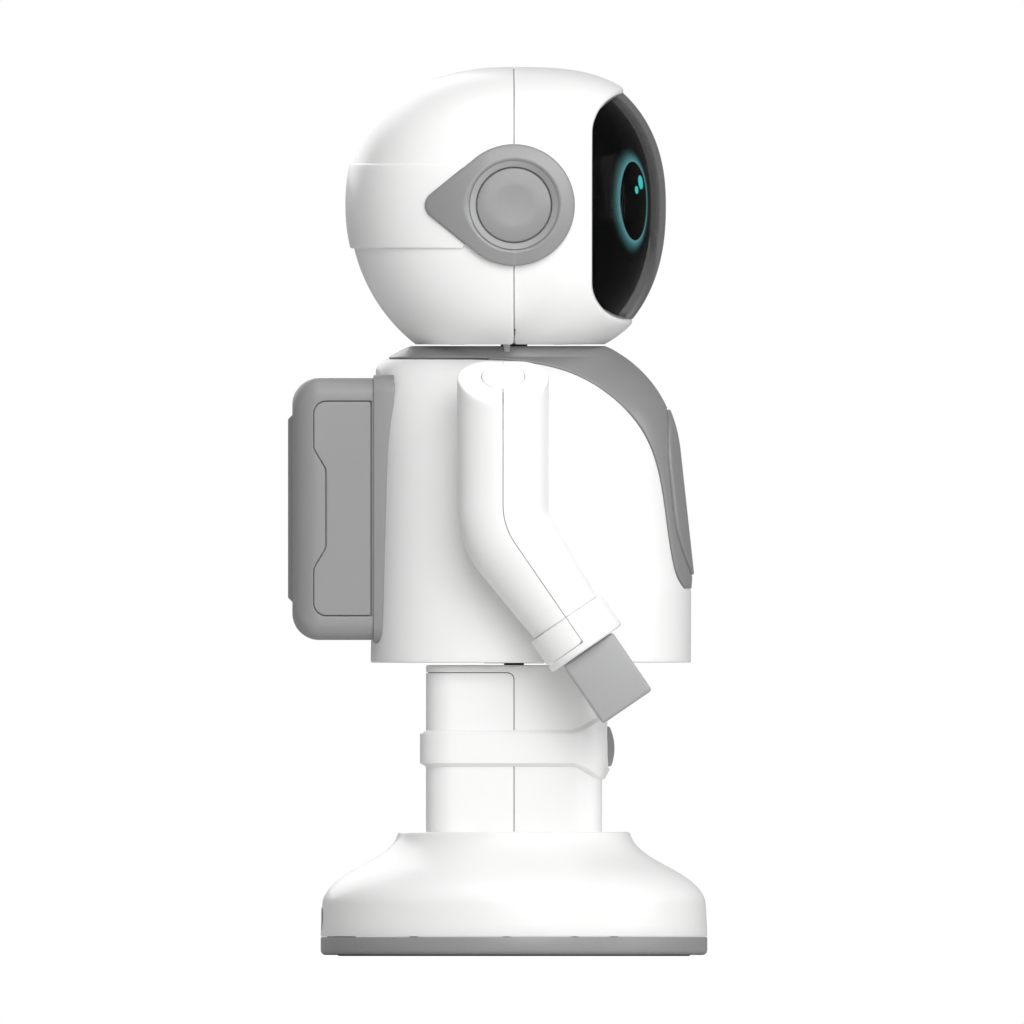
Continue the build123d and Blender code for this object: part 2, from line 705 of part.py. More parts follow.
    # Screws from inside the torso hold the pack
    screws = []
    for x in (-18, 18):
        for z in (pack_z + 12, top - 16):
            post = rod((x, torso_back - 4, z), (0, 1, 0), post_radius, 12)
            side_x = (pack_half_width - pack_wall + 0.6) * (1 if x > 0 else -1)
            rib = block(sorted((x, side_x)), (torso_back - 4, torso_back + 8), (z - 1, z + 1))
            pack = pack + ((post + rib) - touching)
            hole = rod((x, 0, z), (0, 1, 0), screw_shank_radius + fit_gap, torso_back + 4)
            pack -= hole
            shell -= hole
            # the wall curves away, so the head seats by its outer edge
            behind, side = torso_size(z)[1:]
            share = (abs(x) + screw_head_radius) / side
            head_y = behind * (1 - share ** plan_back_power) ** (1 / plan_back_power) - torso_wall - 2 * fit_gap
            screws.append(rod((x, head_y, z), (0, -1, 0), screw_head_radius, screw_head_height)
                          + rod((x, head_y - 1, z), (0, 1, 0), screw_shank_radius, screw_length - 1))
    pieces["pack_screws"] = screws
    pieces["backpack_shell"] = one(pack)
    pieces["torso_shell"] = one(shell)


# ---------------------------------------------------------------- arms

def arm_points(side):
    """Shoulder top, start and end of the elbow's bend, wrist and cuff end, in (Y, Z)."""
    bend = radians(elbow_angle)
    ahead, down = sin(bend), cos(bend)
    y, elbow_z = shoulder_behind, shoulder_z - elbow_drop
    reach = elbow_bend * tan(bend / 2)
    down_to = lambda t: (y - ahead * t, elbow_z - down * t)
    return {"top": (y, shoulder_z + arm_top), "bend_from": (y, elbow_z + reach), "bend_to": down_to(reach),
            "wrist": down_to(forearm_length), "cuff": down_to(forearm_length + cuff_length),
            "reach": reach, "ahead": ahead, "down": down, "at": down_to}


def arm_form(x, radius, wrist, cuff, cuff_stop, top_cut):
    """A round tube with a bent elbow, a tapered forearm and a ring at the cuff."""
    p = arm_points(x)
    reach = p["reach"]
    upper = rod((x, p["bend_from"][0], p["bend_from"][1]), (0, 0, 1), radius,
                p["top"][1] - p["bend_from"][1] - top_cut)
    upper = fillet([e for e in upper.edges() if e.center().Z > p["top"][1] - top_cut - 0.1], radius * 0.42)
    bend_axis = Axis((x, shoulder_behind - elbow_bend, p["bend_from"][1]), (1, 0, 0))
    disc = Plane(origin=(x, p["bend_from"][0], p["bend_from"][1]), z_dir=(0, 0, 1)) * Circle(radius)
    elbow = revolve(disc, bend_axis, -elbow_angle)
    along = Vector(0, -p["ahead"], -p["down"])
    start = Vector(x, *p["bend_to"])
    cone_plane = Plane(origin=start, x_dir=(1, 0, 0), z_dir=along)
    forearm = Solid.make_cone(radius, wrist, forearm_length - reach, cone_plane)
    form = upper + elbow + forearm
    if cuff_stop > 0:
        wrist_point = (x, *p["wrist"])
        form += rod(wrist_point, tuple(along), cuff, cuff_stop)
    return form


def behind_seam(inset):
    """Everything behind the arm's parting line, seen from the side."""
    p = arm_points(0)
    far = 60
    stop = p["at"](forearm_length + cuff_length - lid_setback - inset)
    back = (stop[0] + p["down"] * far, stop[1] - p["ahead"] * far)
    shift = (inset * p["down"], -inset * p["ahead"])
    top = (p["top"][0] + inset, p["top"][1] + 30)
    bend_from = (p["bend_from"][0] + inset, p["bend_from"][1])
    bend_to = (p["bend_to"][0] + shift[0], p["bend_to"][1] + shift[1])
    half = radians(elbow_angle / 2)
    centre = (shoulder_behind - elbow_bend, p["bend_from"][1])
    turn = elbow_bend + inset
    mid = (centre[0] + turn * cos(half), centre[1] - turn * sin(half))
    outline = Line(top, bend_from)
    outline += ThreePointArc(bend_from, mid, bend_to)
    stop = (stop[0] + shift[0], stop[1] + shift[1])
    outline += Polyline(bend_to, stop, back, (back[0] + far, back[1]), (back[0] + far, top[1]), top)
    return side_slab(outline, -200, 200)


def make_arms():
    p = arm_points(0)
    along = (0, -p["ahead"], -p["down"])
    across = (0, -p["down"], p["ahead"])
    for name, side in (("right", -1), ("left", 1)):
        x = side * arm_x
        sign = (side, 0, 0)
        outer = arm_form(x, arm_radius, wrist_radius, cuff_radius, cuff_length, 0)
        inner = arm_form(x, arm_radius - arm_wall, wrist_radius - arm_wall, wrist_radius - arm_wall,
                         cuff_length - cuff_floor, arm_wall)
        facet_low = shoulder_z + arm_top - facet_drop
        lean = radians(facet_angle)
        normal = (side * cos(lean), 0, sin(lean))
        facet_point = Vector(x + side * arm_radius, 0, facet_low)
        place = Plane(origin=facet_point, x_dir=(0, 1, 0), z_dir=normal)
        cutter = place * Pos(0, 0, 20) * Box(120, 120, 40)
        inner_cutter = place * Pos(0, 0, 20 - arm_wall) * Box(120, 120, 40)
        outer = outer - cutter
        inner = inner - inner_cutter
        shell = outer - inner

        # Round cap ring on the facet
        cap_at = Vector(x + side * (arm_radius - (cap_rise + facet_drop - arm_top) * tan(lean)),
                        shoulder_behind, shoulder_z + cap_rise)
        ring_plane = Plane(origin=cap_at, x_dir=(0, 1, 0), z_dir=normal)
        groove = ring_plane * (Cylinder(cap_radius + cap_groove / 2, 2 * cap_groove)
                               - Cylinder(cap_radius - cap_groove / 2, 4 * cap_groove))
        shell -= groove

        # Hub, its shaft and the hole it seats in
        hub_from = torso_half_width + arm_clear - 3.3
        hub_to = torso_half_width + arm_clear + hub_seat
        hub = rod((side * hub_from, shoulder_behind, shoulder_z), sign, hub_radius, hub_to - hub_from)
        hub += rod((side * 23, shoulder_behind, shoulder_z), sign, arm_shaft_radius, hub_to - 23)
        pieces[f"{name}_shoulder_shaft"] = one(hub)
        seat = rod((side * 40, shoulder_behind, shoulder_z), sign, hub_radius + fit_gap, hub_to - 40)
        shell -= seat

        # Hand, with a stub that passes through the cuff's end wall
        cuff_end = Vector(x, *p["cuff"])
        stub = rod(tuple(cuff_end - Vector(*along) * hand_stub_length), along, hand_stub_radius,
                   hand_stub_length + 1)
        hand_place = Plane(origin=cuff_end, x_dir=(1, 0, 0), z_dir=along)
        palm = hand_place * Pos(0, 0, hand_length / 2 + seam_gap / 2) * Box(hand_thickness, hand_width,
                                                                           hand_length - seam_gap)
        palm = fillet(palm.edges(), hand_corner)
        pieces[f"{name}_hand"] = one(palm + stub)
        shell -= rod(tuple(cuff_end - Vector(*along) * 10), along, hand_stub_radius + fit_gap, 14)

        pieces[f"{name}_arm_front"] = one(shell - behind_seam(0))
        pieces[f"{name}_arm_back"] = one(shell & behind_seam(seam_gap))


# ---------------------------------------------------------------- legs

def leg_plan(grow, z_low, z_high):
    shape = RectangleRounded(2 * (leg_half_width + grow), 2 * (leg_half_depth + grow), leg_corner + grow)
    return Pos(0, 0, z_low) * extrude(shape, z_high - z_low)


def crotch(grow, z_low):
    half = crotch_width / 2 + grow
    arch_z = bell_z + crotch_height - crotch_width / 2
    slot = block((-half, half), (-80, 80), (z_low, arch_z))
    return slot + rod((0, -80, arch_z), (0, 1, 0), half, 160)


def knee_belt():
    """Band round both legs that widens into a pad over the front of each knee."""
    half = band_height / 2
    back = -leg_half_depth - band_proud
    pad = pad_height / 2
    top = [(back, half), (pad_flare_from, half), (pad_flare_from + 5, half + 1.6), (pad_base, pad)]
    outline = Polyline(*[(-u, knee_z + v) for u, v in top[:2]])
    outline += Spline(*[(-u, knee_z + v) for u, v in top[1:]], tangents=[(-1, 0), (-0.35, 1)])
    outline += ThreePointArc((-pad_base, knee_z + pad), (-pad_front, knee_z), (-pad_base, knee_z - pad))
    low = [(u, -v) for u, v in reversed(top)]
    outline += Spline(*[(-u, knee_z + v) for u, v in low[:3]], tangents=[(0.35, 1), (1, 0)])
    outline += Polyline(*[(-u, knee_z + v) for u, v in low[2:]], (-back, knee_z + half))
    belt = side_slab(outline, -leg_half_width - band_proud, leg_half_width + band_proud)
    plan = RectangleRounded(2 * (leg_half_width + band_proud), leg_half_depth + band_proud + pad_front,
                            leg_corner + band_proud)
    ahead_of_middle = (pad_front - leg_half_depth - band_proud) / 2
    return belt & extrude(Pos(0, -ahead_of_middle, 0) * plan, 200)


def make_legs():
    outer = leg_plan(0, bell_z, hip_z) + knee_belt()
    outer -= crotch(0, bell_z - 1)
    inner = leg_plan(-leg_wall, bell_z - 1, hip_z - hip_thickness) - crotch(leg_wall, bell_z - 2)
    shell = outer - inner
    front = block((-200, 200), (-200, -seam_gap / 2), (0, 400))
    back = block((-200, 200), (seam_gap / 2, 200), (0, hip_z - hip_thickness))
    top_plate = leg_plan(0, hip_z - hip_thickness + seam_gap, hip_z)
    front_shell = (shell & front) + top_plate
    back_shell = shell & back

    # Boss that carries the waist hub, over the motor
    boss = rod((0, 0, hip_z), (0, 0, 1), waist_hub_radius + 1.5, 0.2)
    front_shell += boss
    front_shell -= rod((0, 0, hip_z - 20), (0, 0, 1), waist_shaft_radius + moving_gap, 40)
    motor_top = hip_z - hip_thickness
    motor = block((-20, 20), (-12, 12), (motor_top - motor_height, motor_top))
    motor -= rod((0, 0, hip_z - 7), (0, 0, 1), waist_shaft_radius + running_gap, 40)
    front_shell -= block((-20 - fit_gap, 20 + fit_gap), (-12 - fit_gap, 12 + fit_gap),
                         (motor_top - motor_height - 0.1, motor_top))
    back_shell -= block((-20 - fit_gap, 20 + fit_gap), (-12 - fit_gap, 12 + fit_gap),
                        (motor_top - motor_height - 0.1, motor_top))
    pieces["waist_motor"] = one(motor)

    # Knee inserts, each in a pocket of its pad
    knee_x = (leg_half_width + crotch_width / 2) / 2
    for name, side in (("right", -1), ("left", 1)):
        middle = front_plane(side * knee_x, knee_z + 0.6)

        def bar(grow, y_from, y_to):
            shape = RectangleRounded(2 * (insert_half_width + grow), insert_height + 2 * grow, 5 + grow)
            return (Pos(0, -y_from, 0) * extrude(middle * shape, y_to - y_from))

        front_shell -= bar(insert_gap, pad_front - insert_depth - 1, pad_front + 10)
        plug = bar(0, pad_front - insert_depth - 1, pad_front)
        front_edges = [e for e in plug.edges() if e.center().Y < -pad_front + 0.1]
        pieces[f"{name}_knee_insert"] = one(fillet(front_edges, 0.9))

    # Screws through the back shell into the front shell's posts
    screws = []
    for x in (-30, -12, 12, 30):
        z = bell_z + 10
        post = rod((x, -leg_half_depth + leg_wall, z), (0, 1, 0), post_radius, leg_half_depth - leg_wall - 1)
        tube = rod((x, -0.6, z), (0, 1, 0), post_radius, leg_half_depth - 0.5)
        hole = rod((x, -9, z), (0, 1, 0), screw_shank_radius + fit_gap, 60)
        sink = rod((x, screw_head_height + 1, z), (0, 1, 0), screw_head_radius + 0.4, 60)
        front_shell = (front_shell + post) - hole
        back_shell = (back_shell + (tube & back)) - hole - sink
        screws.append(rod((x, screw_head_height + 1, z), (0, 1, 0), screw_head_radius, screw_head_height)
                      + rod((x, screw_head_height + 2 - screw_length, z), (0, 1, 0), screw_shank_radius,
                            screw_length))
    pieces["leg_screws"] = screws
    pieces["leg_front_shell"] = one(front_shell)
    pieces["leg_back_shell"] = one(back_shell)


# ---------------------------------------------------------------- base

def oval_turn(outline):
    """A half profile of (radius, Z) points swept round an oval of two half circles and a straight."""
    half = base_straight / 2
    face = make_face(Plane.XZ * outline)
    end = Pos(half, 0, 0) * revolve(face, Axis.Z, 360)
    other = Pos(-half, 0, 0) * revolve(face, Axis.Z, 360)
    section = make_face(Plane.YZ * outline) + mirror(make_face(Plane.YZ * outline), Plane.XZ)
    middle = extrude(Pos(-half, 0, 0) * section, base_straight, dir=(1, 0, 0))
    return end + other + middle


def bell_outline(inset, low):
    """Half profile of the bell: an upright rim, a round shoulder and a waist that sweeps up to the legs."""
    rim = base_half_depth - inset
    neck = neck_half_depth - inset
    rim_z = tray_height + base_rim
    top = bell_z - inset
    shoulder = (rim - 5.2, tray_height + 17.0 - inset * 0.9)
    sweep = (neck + 5.8, bell_z - 7.2 - inset)
    outline = Line((rim, low), (rim - 0.5, rim_z))
    outline += Spline((rim - 0.5, rim_z), shoulder, sweep, (neck, top), tangents=[(-0.06, 1), (-0.12, 1)])
    outline += Polyline((neck, top), (0, top), (0, low), (rim, low))
    return outline


def oval_disc(radius, z_low, z_high):
    half = base_straight / 2
    return (rod((half, 0, z_low), (0, 0, 1), radius, z_high - z_low)
            + rod((-half, 0, z_low), (0, 0, 1), radius, z_high - z_low)
            + block((-half, half), (-radius, radius), (z_low, z_high)))


def make_base():
    outer = oval_turn(bell_outline(0, tray_height + seam_gap))
    inner = oval_turn(bell_outline(bell_wall, tray_height - 1))
    bell = outer - inner
    bell -= rod((0, 0, bell_z - 10), (0, 0, 1), 6, 30)
    for side in (-1, 1):
        bell -= rod((side * leg_half_width * 0.6, 0, bell_z - 10), (0, 0, 1), 5, 30)

    tray = oval_disc(base_half_depth, pad_proud, tray_height)
    tray = fillet([e for e in tray.edges() if e.center().Z < pad_proud + 0.01], tray_fillet)
    floor_z = pad_proud + tray_floor
    tray -= oval_disc(base_half_depth - tray_wall, floor_z, tray_height + 1)
    pad_room = oval_disc(base_half_depth - pad_inset, -1, pad_thickness)
    tray -= pad_room
    pad = oval_disc(base_half_depth - pad_inset - fit_gap, 0, pad_thickness)

    # Posts from the bell down to the tray, with a screw in each from under the pad
    screws = []
    for x in (-44, 44):
        for y in (-30, 30):
            post = rod((x, y, floor_z + fit_gap), (0, 0, 1), post_radius + 0.6, bell_height)
            post &= outer + oval_disc(base_half_depth - tray_wall - 1, floor_z, tray_height + 2)
            bell += post
            hole = rod((x, y, -1), (0, 0, 1), screw_shank_radius + fit_gap, screw_length + 3.5)
            sink = rod((x, y, -1), (0, 0, 1), screw_head_radius + fit_gap, 1 + pad_thickness + screw_head_height)
            bell -= hole
            tray = tray - hole - sink
            screws.append(rod((x, y, pad_thickness), (0, 0, 1), screw_head_radius, screw_head_height - fit_gap)
                          + rod((x, y, pad_thickness), (0, 0, 1), screw_shank_radius, screw_length))

    # Steel ballast on the tray, two cells on it, and the charge board behind them
    ballast_z = floor_z
    ballast = block((-40, 40), (-36, 20), (ballast_z, ballast_z + ballast_thickness))
    for x in (-44, 44):
        ballast -= rod((x, -30, 0), (0, 0, 1), post_radius + 2, 40)
    pieces["ballast_plate"] = one(ballast)
    cell_z = ballast_z + ballast_thickness + cell_radius
    cells = []
    for i in (0, 1):
        y = -8 + (i - 0.5) * cell_pitch
        cells.append(one(rod((-cell_length / 2, y, cell_z), (1, 0, 0), cell_radius, cell_length)))
    pieces["battery_cells"] = cells

    board_z = floor_z + 1.0
    wall_in = base_half_depth - bell_wall - 1.2
    board = block((-28, 28), (24, wall_in - 4), (board_z, board_z + board_thickness))
    board &= oval_disc(base_half_depth - tray_wall - 1, 0, 50)
    pieces["charge_board"] = one(board)
    top_z = board_z + board_thickness
    usb_y = base_half_depth - bell_wall
    usb = block((usb_offset - usb_width / 2, usb_offset + usb_width / 2), (usb_y - usb_depth, usb_y + 0.4),
                (top_z, top_z + usb_height))
    usb = fillet(usb.edges().filter_by(Axis.Y), usb_height / 2 - 0.2)
    mouth = block((usb_offset - usb_width / 2 + 0.5, usb_offset + usb_width / 2 - 0.5),
                  (usb_y - usb_depth + 1.2, usb_y + 1), (top_z + 0.5, top_z + usb_height - 0.5))
    usb -= mouth
    pieces["usb_port"] = one(usb)
    port = block((usb_offset - usb_width / 2 - 0.3, usb_offset + usb_width / 2 + 0.3),
                 (usb_y - usb_depth - 1, usb_y + 20), (top_z - 0.02, top_z + usb_height + 0.3))
    bell -= port
    tray -= port

    # Power button at the back, in a bored boss of the bell, with its switch on the board
    power_z = tray_height + 5.2
    rim_y = sqrt((base_half_depth - 0.2) ** 2 - max(0.0, usb_offset - base_straight / 2) ** 2)
    button_face = rim_y + power_proud
    button = rod((-usb_offset, button_face, power_z), (0, -1, 0), power_radius, power_length)
    room_y = rim_y - bell_wall + 0.4
    button += rod((-usb_offset, room_y - moving_gap, power_z), (0, -1, 0), power_radius + 1.2, 1.0)
    button = fillet([e for e in button.edges() if e.center().Y > button_face - 0.01], 0.6)
    pieces["power_button"] = one(button)
    bell -= rod((-usb_offset, rim_y + 10, power_z), (0, -1, 0), power_radius + 0.25, 30)
    bell -= rod((-usb_offset, room_y, power_z), (0, -1, 0), power_radius + 1.6, 20)
    switch_y = button_face - power_length - power_travel - moving_gap
    switch = block((-usb_offset - 3, -usb_offset + 3), (switch_y - 4, switch_y), (top_z, power_z + 3))
    pieces["power_switch"] = one(switch)

    pieces["base_bell"] = one(bell)
    pieces["base_tray"] = one(tray)
    pieces["rubber_pad"] = one(pad)
    pieces["base_screws"] = screws


make_head()
torso_shell = make_torso()
make_pack(torso_shell)
make_arms()
make_legs()
make_base()

os.makedirs("parts", exist_ok=True)
for name, shape in pieces.items():
    solids = shape if isinstance(shape, list) else [shape]
    solids = [one(s) for s in solids]
    export_step(solids[0] if len(solids) == 1 else Compound(children=solids), f"parts/{name}.step")
    print(name, len(solids), round(sum(s.volume for s in solids)))
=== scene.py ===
import bpy
import json
import numpy as np
from math import atan2, cos, pi, radians, sin, tan
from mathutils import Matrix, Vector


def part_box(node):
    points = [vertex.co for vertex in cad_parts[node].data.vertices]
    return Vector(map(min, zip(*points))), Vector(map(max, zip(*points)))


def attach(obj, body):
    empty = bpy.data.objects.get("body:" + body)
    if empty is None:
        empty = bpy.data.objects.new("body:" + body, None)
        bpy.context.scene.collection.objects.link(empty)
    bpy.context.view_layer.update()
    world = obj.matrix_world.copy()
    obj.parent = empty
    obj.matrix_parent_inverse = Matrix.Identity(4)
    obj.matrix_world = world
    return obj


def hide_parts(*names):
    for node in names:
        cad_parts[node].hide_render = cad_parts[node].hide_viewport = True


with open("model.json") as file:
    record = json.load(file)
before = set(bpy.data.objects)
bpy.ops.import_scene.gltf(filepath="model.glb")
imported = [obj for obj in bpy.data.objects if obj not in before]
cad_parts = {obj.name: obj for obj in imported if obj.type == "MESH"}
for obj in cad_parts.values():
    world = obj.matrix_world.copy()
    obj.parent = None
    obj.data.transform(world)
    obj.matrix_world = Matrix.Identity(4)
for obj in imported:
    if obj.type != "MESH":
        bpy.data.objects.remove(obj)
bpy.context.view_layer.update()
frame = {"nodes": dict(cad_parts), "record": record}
print("frame loaded:", len(frame["nodes"]), "nodes")

mm = 0.001
nodes = frame["nodes"]


def lowHigh(node):
    low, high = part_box(node)
    return np.array(low) / mm, np.array(high) / mm


stature = {
    "buttonRise": 0.3, "legHeight": 50.1, "kneeRise": 25.1, "torsoHeight": 91.2, "shoulderDrop": 12.9,
    "armOut": 62.1, "coverLow": 7.4, "coverTop": 7.1,
}
# Levels and middles in millimetres, from the frame and the robot's stature
headZ = 0.5 * sum(end[2] for end in lowHigh("right_ear_button")) - stature["buttonRise"]
neckZ = lowHigh("head_base_plate")[0][2]
hemZ = lowHigh("torso_shell")[0][2]
bellTop = lowHigh("base_bell")[1][2]
hipTop = bellTop + stature["legHeight"]
torsoTop = hemZ + stature["torsoHeight"]
collarTop = lowHigh("chest_yoke")[1][2]
kneeZ = bellTop + stature["kneeRise"]
packLow = lowHigh("right_pack_panel")[0][2] - stature["coverLow"]
packHigh = lowHigh("right_pack_panel")[1][2] + stature["coverTop"]
shoulderZ = torsoTop - stature["shoulderDrop"]
armX = stature["armOut"]


def roundedPolygon(corners, radii, steps=14):
    # Each corner becomes an arc that touches both sides: its centre lies on the bisector,
    # radius / sin(half the corner's angle) from the corner
    corners = np.array(corners, float)
    outline = []
    for i, corner in enumerate(corners):
        before, after = corners[i - 1] - corner, corners[(i + 1) % len(corners)] - corner
        before, after = before / np.linalg.norm(before), after / np.linalg.norm(after)
        if radii[i] <= 0:
            outline.append(corner[None])
            continue
        half = 0.5 * np.arccos(np.clip(before @ after, -1, 1))
        middle = corner + (before + after) / np.linalg.norm(before + after) * radii[i] / sin(half)
        first = corner + before * radii[i] / tan(half) - middle
        last = corner + after * radii[i] / tan(half) - middle
        share = np.linspace(0, 1, steps)[:, None]
        turn = pi - 2 * half
        blend = np.sin((1 - share) * turn) * first + np.sin(share * turn) * last
        outline.append(middle + blend / sin(turn))
    return np.concatenate(outline)


def splineThrough(points, steps, startSlope=None, endSlope=None):
    # Cubic spline through the points, run by chord length: the second differences are solved for
    # in one linear system, with given end slopes or natural ends
    points = np.array(points, float)
    run = np.concatenate([[0], np.cumsum(np.linalg.norm(np.diff(points, axis=0), axis=1))])
    gap, count = np.diff(run), len(points)
    system, right = np.zeros((count, count)), np.zeros_like(points)
    for i in range(1, count - 1):
        system[i, i - 1:i + 2] = gap[i], 2 * (gap[i] + gap[i - 1]), gap[i - 1]
        right[i] = 3 * (gap[i] * (points[i] - points[i - 1]) / gap[i - 1]
                        + gap[i - 1] * (points[i + 1] - points[i]) / gap[i])
    for end, slope, other in ((0, startSlope, 1), (count - 1, endSlope, count - 2)):
        if slope is None:
            system[end, end], system[end, other] = 2, 1
            right[end] = 3 * (points[end] - points[other]) / (run[end] - run[other])
        else:
            system[end, end] = 1
            right[end] = np.array(slope) / np.linalg.norm(slope)
    slopes = np.linalg.solve(system, right)
    at = np.linspace(0, run[-1], steps)
    k = np.clip(np.searchsorted(run, at, side="right") - 1, 0, count - 2)
    s = ((at - run[k]) / gap[k])[:, None]
    g = gap[k][:, None]
    return ((2 * s ** 3 - 3 * s ** 2 + 1) * points[k] + (s ** 3 - 2 * s ** 2 + s) * g * slopes[k]
            + (3 * s ** 2 - 2 * s ** 3) * points[k + 1] + (s ** 3 - s ** 2) * g * slopes[k + 1])


def insideDistance(outline, a, b):
    # Distance from (a, b) to a closed outline, positive inside; the side comes from counting crossings
    shape = a.shape
    p = np.stack([a.ravel(), b.ravel()], -1)
    start, end = outline, np.roll(outline, -1, axis=0)
    best = np.full(len(p), np.inf)
    crossings = np.zeros(len(p), int)
    for s, e in zip(start, end):
        edge = e - s
        length = edge @ edge
        if length < 1e-12:
            continue
        along = np.clip(((p - s) @ edge) / length, 0, 1)
        best = np.minimum(best, np.linalg.norm(p - s - along[:, None] * edge, axis=1))
        if s[1] != e[1]:
            level = (p[:, 1] >= min(s[1], e[1])) & (p[:, 1] < max(s[1], e[1]))
            crossings += level & (p[:, 0] < s[0] + (p[:, 1] - s[1]) / edge[1] * edge[0])
    return (np.where(crossings % 2 == 1, best, -best)).reshape(shape)


def sideOutline(outline, sign=1):
    # A limit that runs right through along X: the outline is in (Y, Z)
    return lambda p: sign * insideDistance(outline, p[..., 1], p[..., 2])


def frontOutline(outline, sign=1):
    # The same for an outline in (X, Z), through along Y
    return lambda p: sign * insideDistance(outline, p[..., 0], p[..., 2])


def trimmed(surface, us, vs, limits, closed=False, edgeLip=0.15):
    # Samples surface(u, v) on a grid, keeps the cells that lie inside every limit and slides the
    # points of the cut edge along the surface until they are exactly on it. A limit is a pair:
    # a distance function of the points, and the lip's radius that is left free beside it.
    u, v = np.meshgrid(us, vs, indexing="ij")
    stepU, stepV = np.gradient(us)[:, None] + 0 * v, np.gradient(vs)[None, :] + 0 * u

    def margins(uu, vv):
        p = surface(uu, vv)
        if not limits:
            return np.ones((1,) + uu.shape)
        return np.stack([distance(p) - lip for distance, lip in limits])

    keep = margins(u, v).min(axis=0) > 0
    index = np.arange(u.size).reshape(u.shape)
    if closed:
        index = np.concatenate([index, index[:1]])
        keep = np.concatenate([keep, keep[:1]])
    whole = keep[:-1, :-1] & keep[1:, :-1] & keep[1:, 1:] & keep[:-1, 1:]
    corners = np.stack([index[:-1, :-1], index[1:, :-1], index[1:, 1:], index[:-1, 1:]], -1)
    quads = corners[whole]
    inKept, inCut = np.zeros(u.size, bool), np.zeros(u.size, bool)
    inKept[quads.ravel()] = True
    inCut[corners[~whole].ravel()] = True
    border = np.flatnonzero(inKept & inCut)
    uu, vv = u.ravel().copy(), v.ravel().copy()
    su, sv = stepU.ravel()[border], stepV.ravel()[border]
    a, b = uu[border], vv[border]
    nudge = 0.05
    for _ in range(5 if len(border) else 0):
        here = margins(a, b).min(axis=0)
        du = (margins(a + nudge * su, b).min(axis=0) - here) / nudge
        dv = (margins(a, b + nudge * sv).min(axis=0) - here) / nudge
        size = np.maximum(du ** 2 + dv ** 2, 1e-12)
        a = a - np.clip(here * du / size, -0.8, 0.8) * su
        b = b - np.clip(here * dv / size, -0.8, 0.8) * sv
        b = np.clip(b, min(vs[0], vs[-1]), max(vs[0], vs[-1]))
        if not closed:
            a = np.clip(a, min(us[0], us[-1]), max(us[0], us[-1]))
    uu[border], vv[border] = a, b
    lip = np.full(u.size, edgeLip)
    if limits and len(border):
        lip[border] = np.array([l for _, l in limits])[margins(a, b).argmin(axis=0)]
    return surface(uu, vv), quads, lip


def weld(points, quads, lip):
    # Points that coincide become one, so that poles and seams close; flat quads become triangles
    keys = np.round(points, 4)
    _, first, same = np.unique(keys, axis=0, return_index=True, return_inverse=True)
    same = same.ravel()
    used = np.unique(same[quads])
    renumber = np.full(len(first), -1)
    renumber[used] = np.arange(len(used))
    quads = renumber[same[quads]]
    tris = []
    fine = np.ones(len(quads), bool)
    for k in range(4):
        twin = quads[:, k] == quads[:, (k + 1) % 4]
        tris.append(np.delete(quads[twin & fine], k, axis=1))
        fine &= ~twin
    tris = np.concatenate(tris)
    tris = tris[(tris[:, 0] != tris[:, 1]) & (tris[:, 1] != tris[:, 2]) & (tris[:, 0] != tris[:, 2])]
    return points[first[used]], quads[fine], tris, lip[first[used]]


def pointNormals(points, quads, tris=()):
    normals = np.zeros_like(points)
    for faces, a, b, c, d in ((quads, 0, 2, 1, 3), (tris, 0, 1, 0, 2)):
        if len(faces):
            flat = np.cross(points[faces[:, b]] - points[faces[:, a]],
                            points[faces[:, d]] - points[faces[:, c]])
            for k in range(faces.shape[1]):
                np.add.at(normals, faces[:, k], flat)
    return normals / np.maximum(np.linalg.norm(normals, axis=1), 1e-12)[:, None]


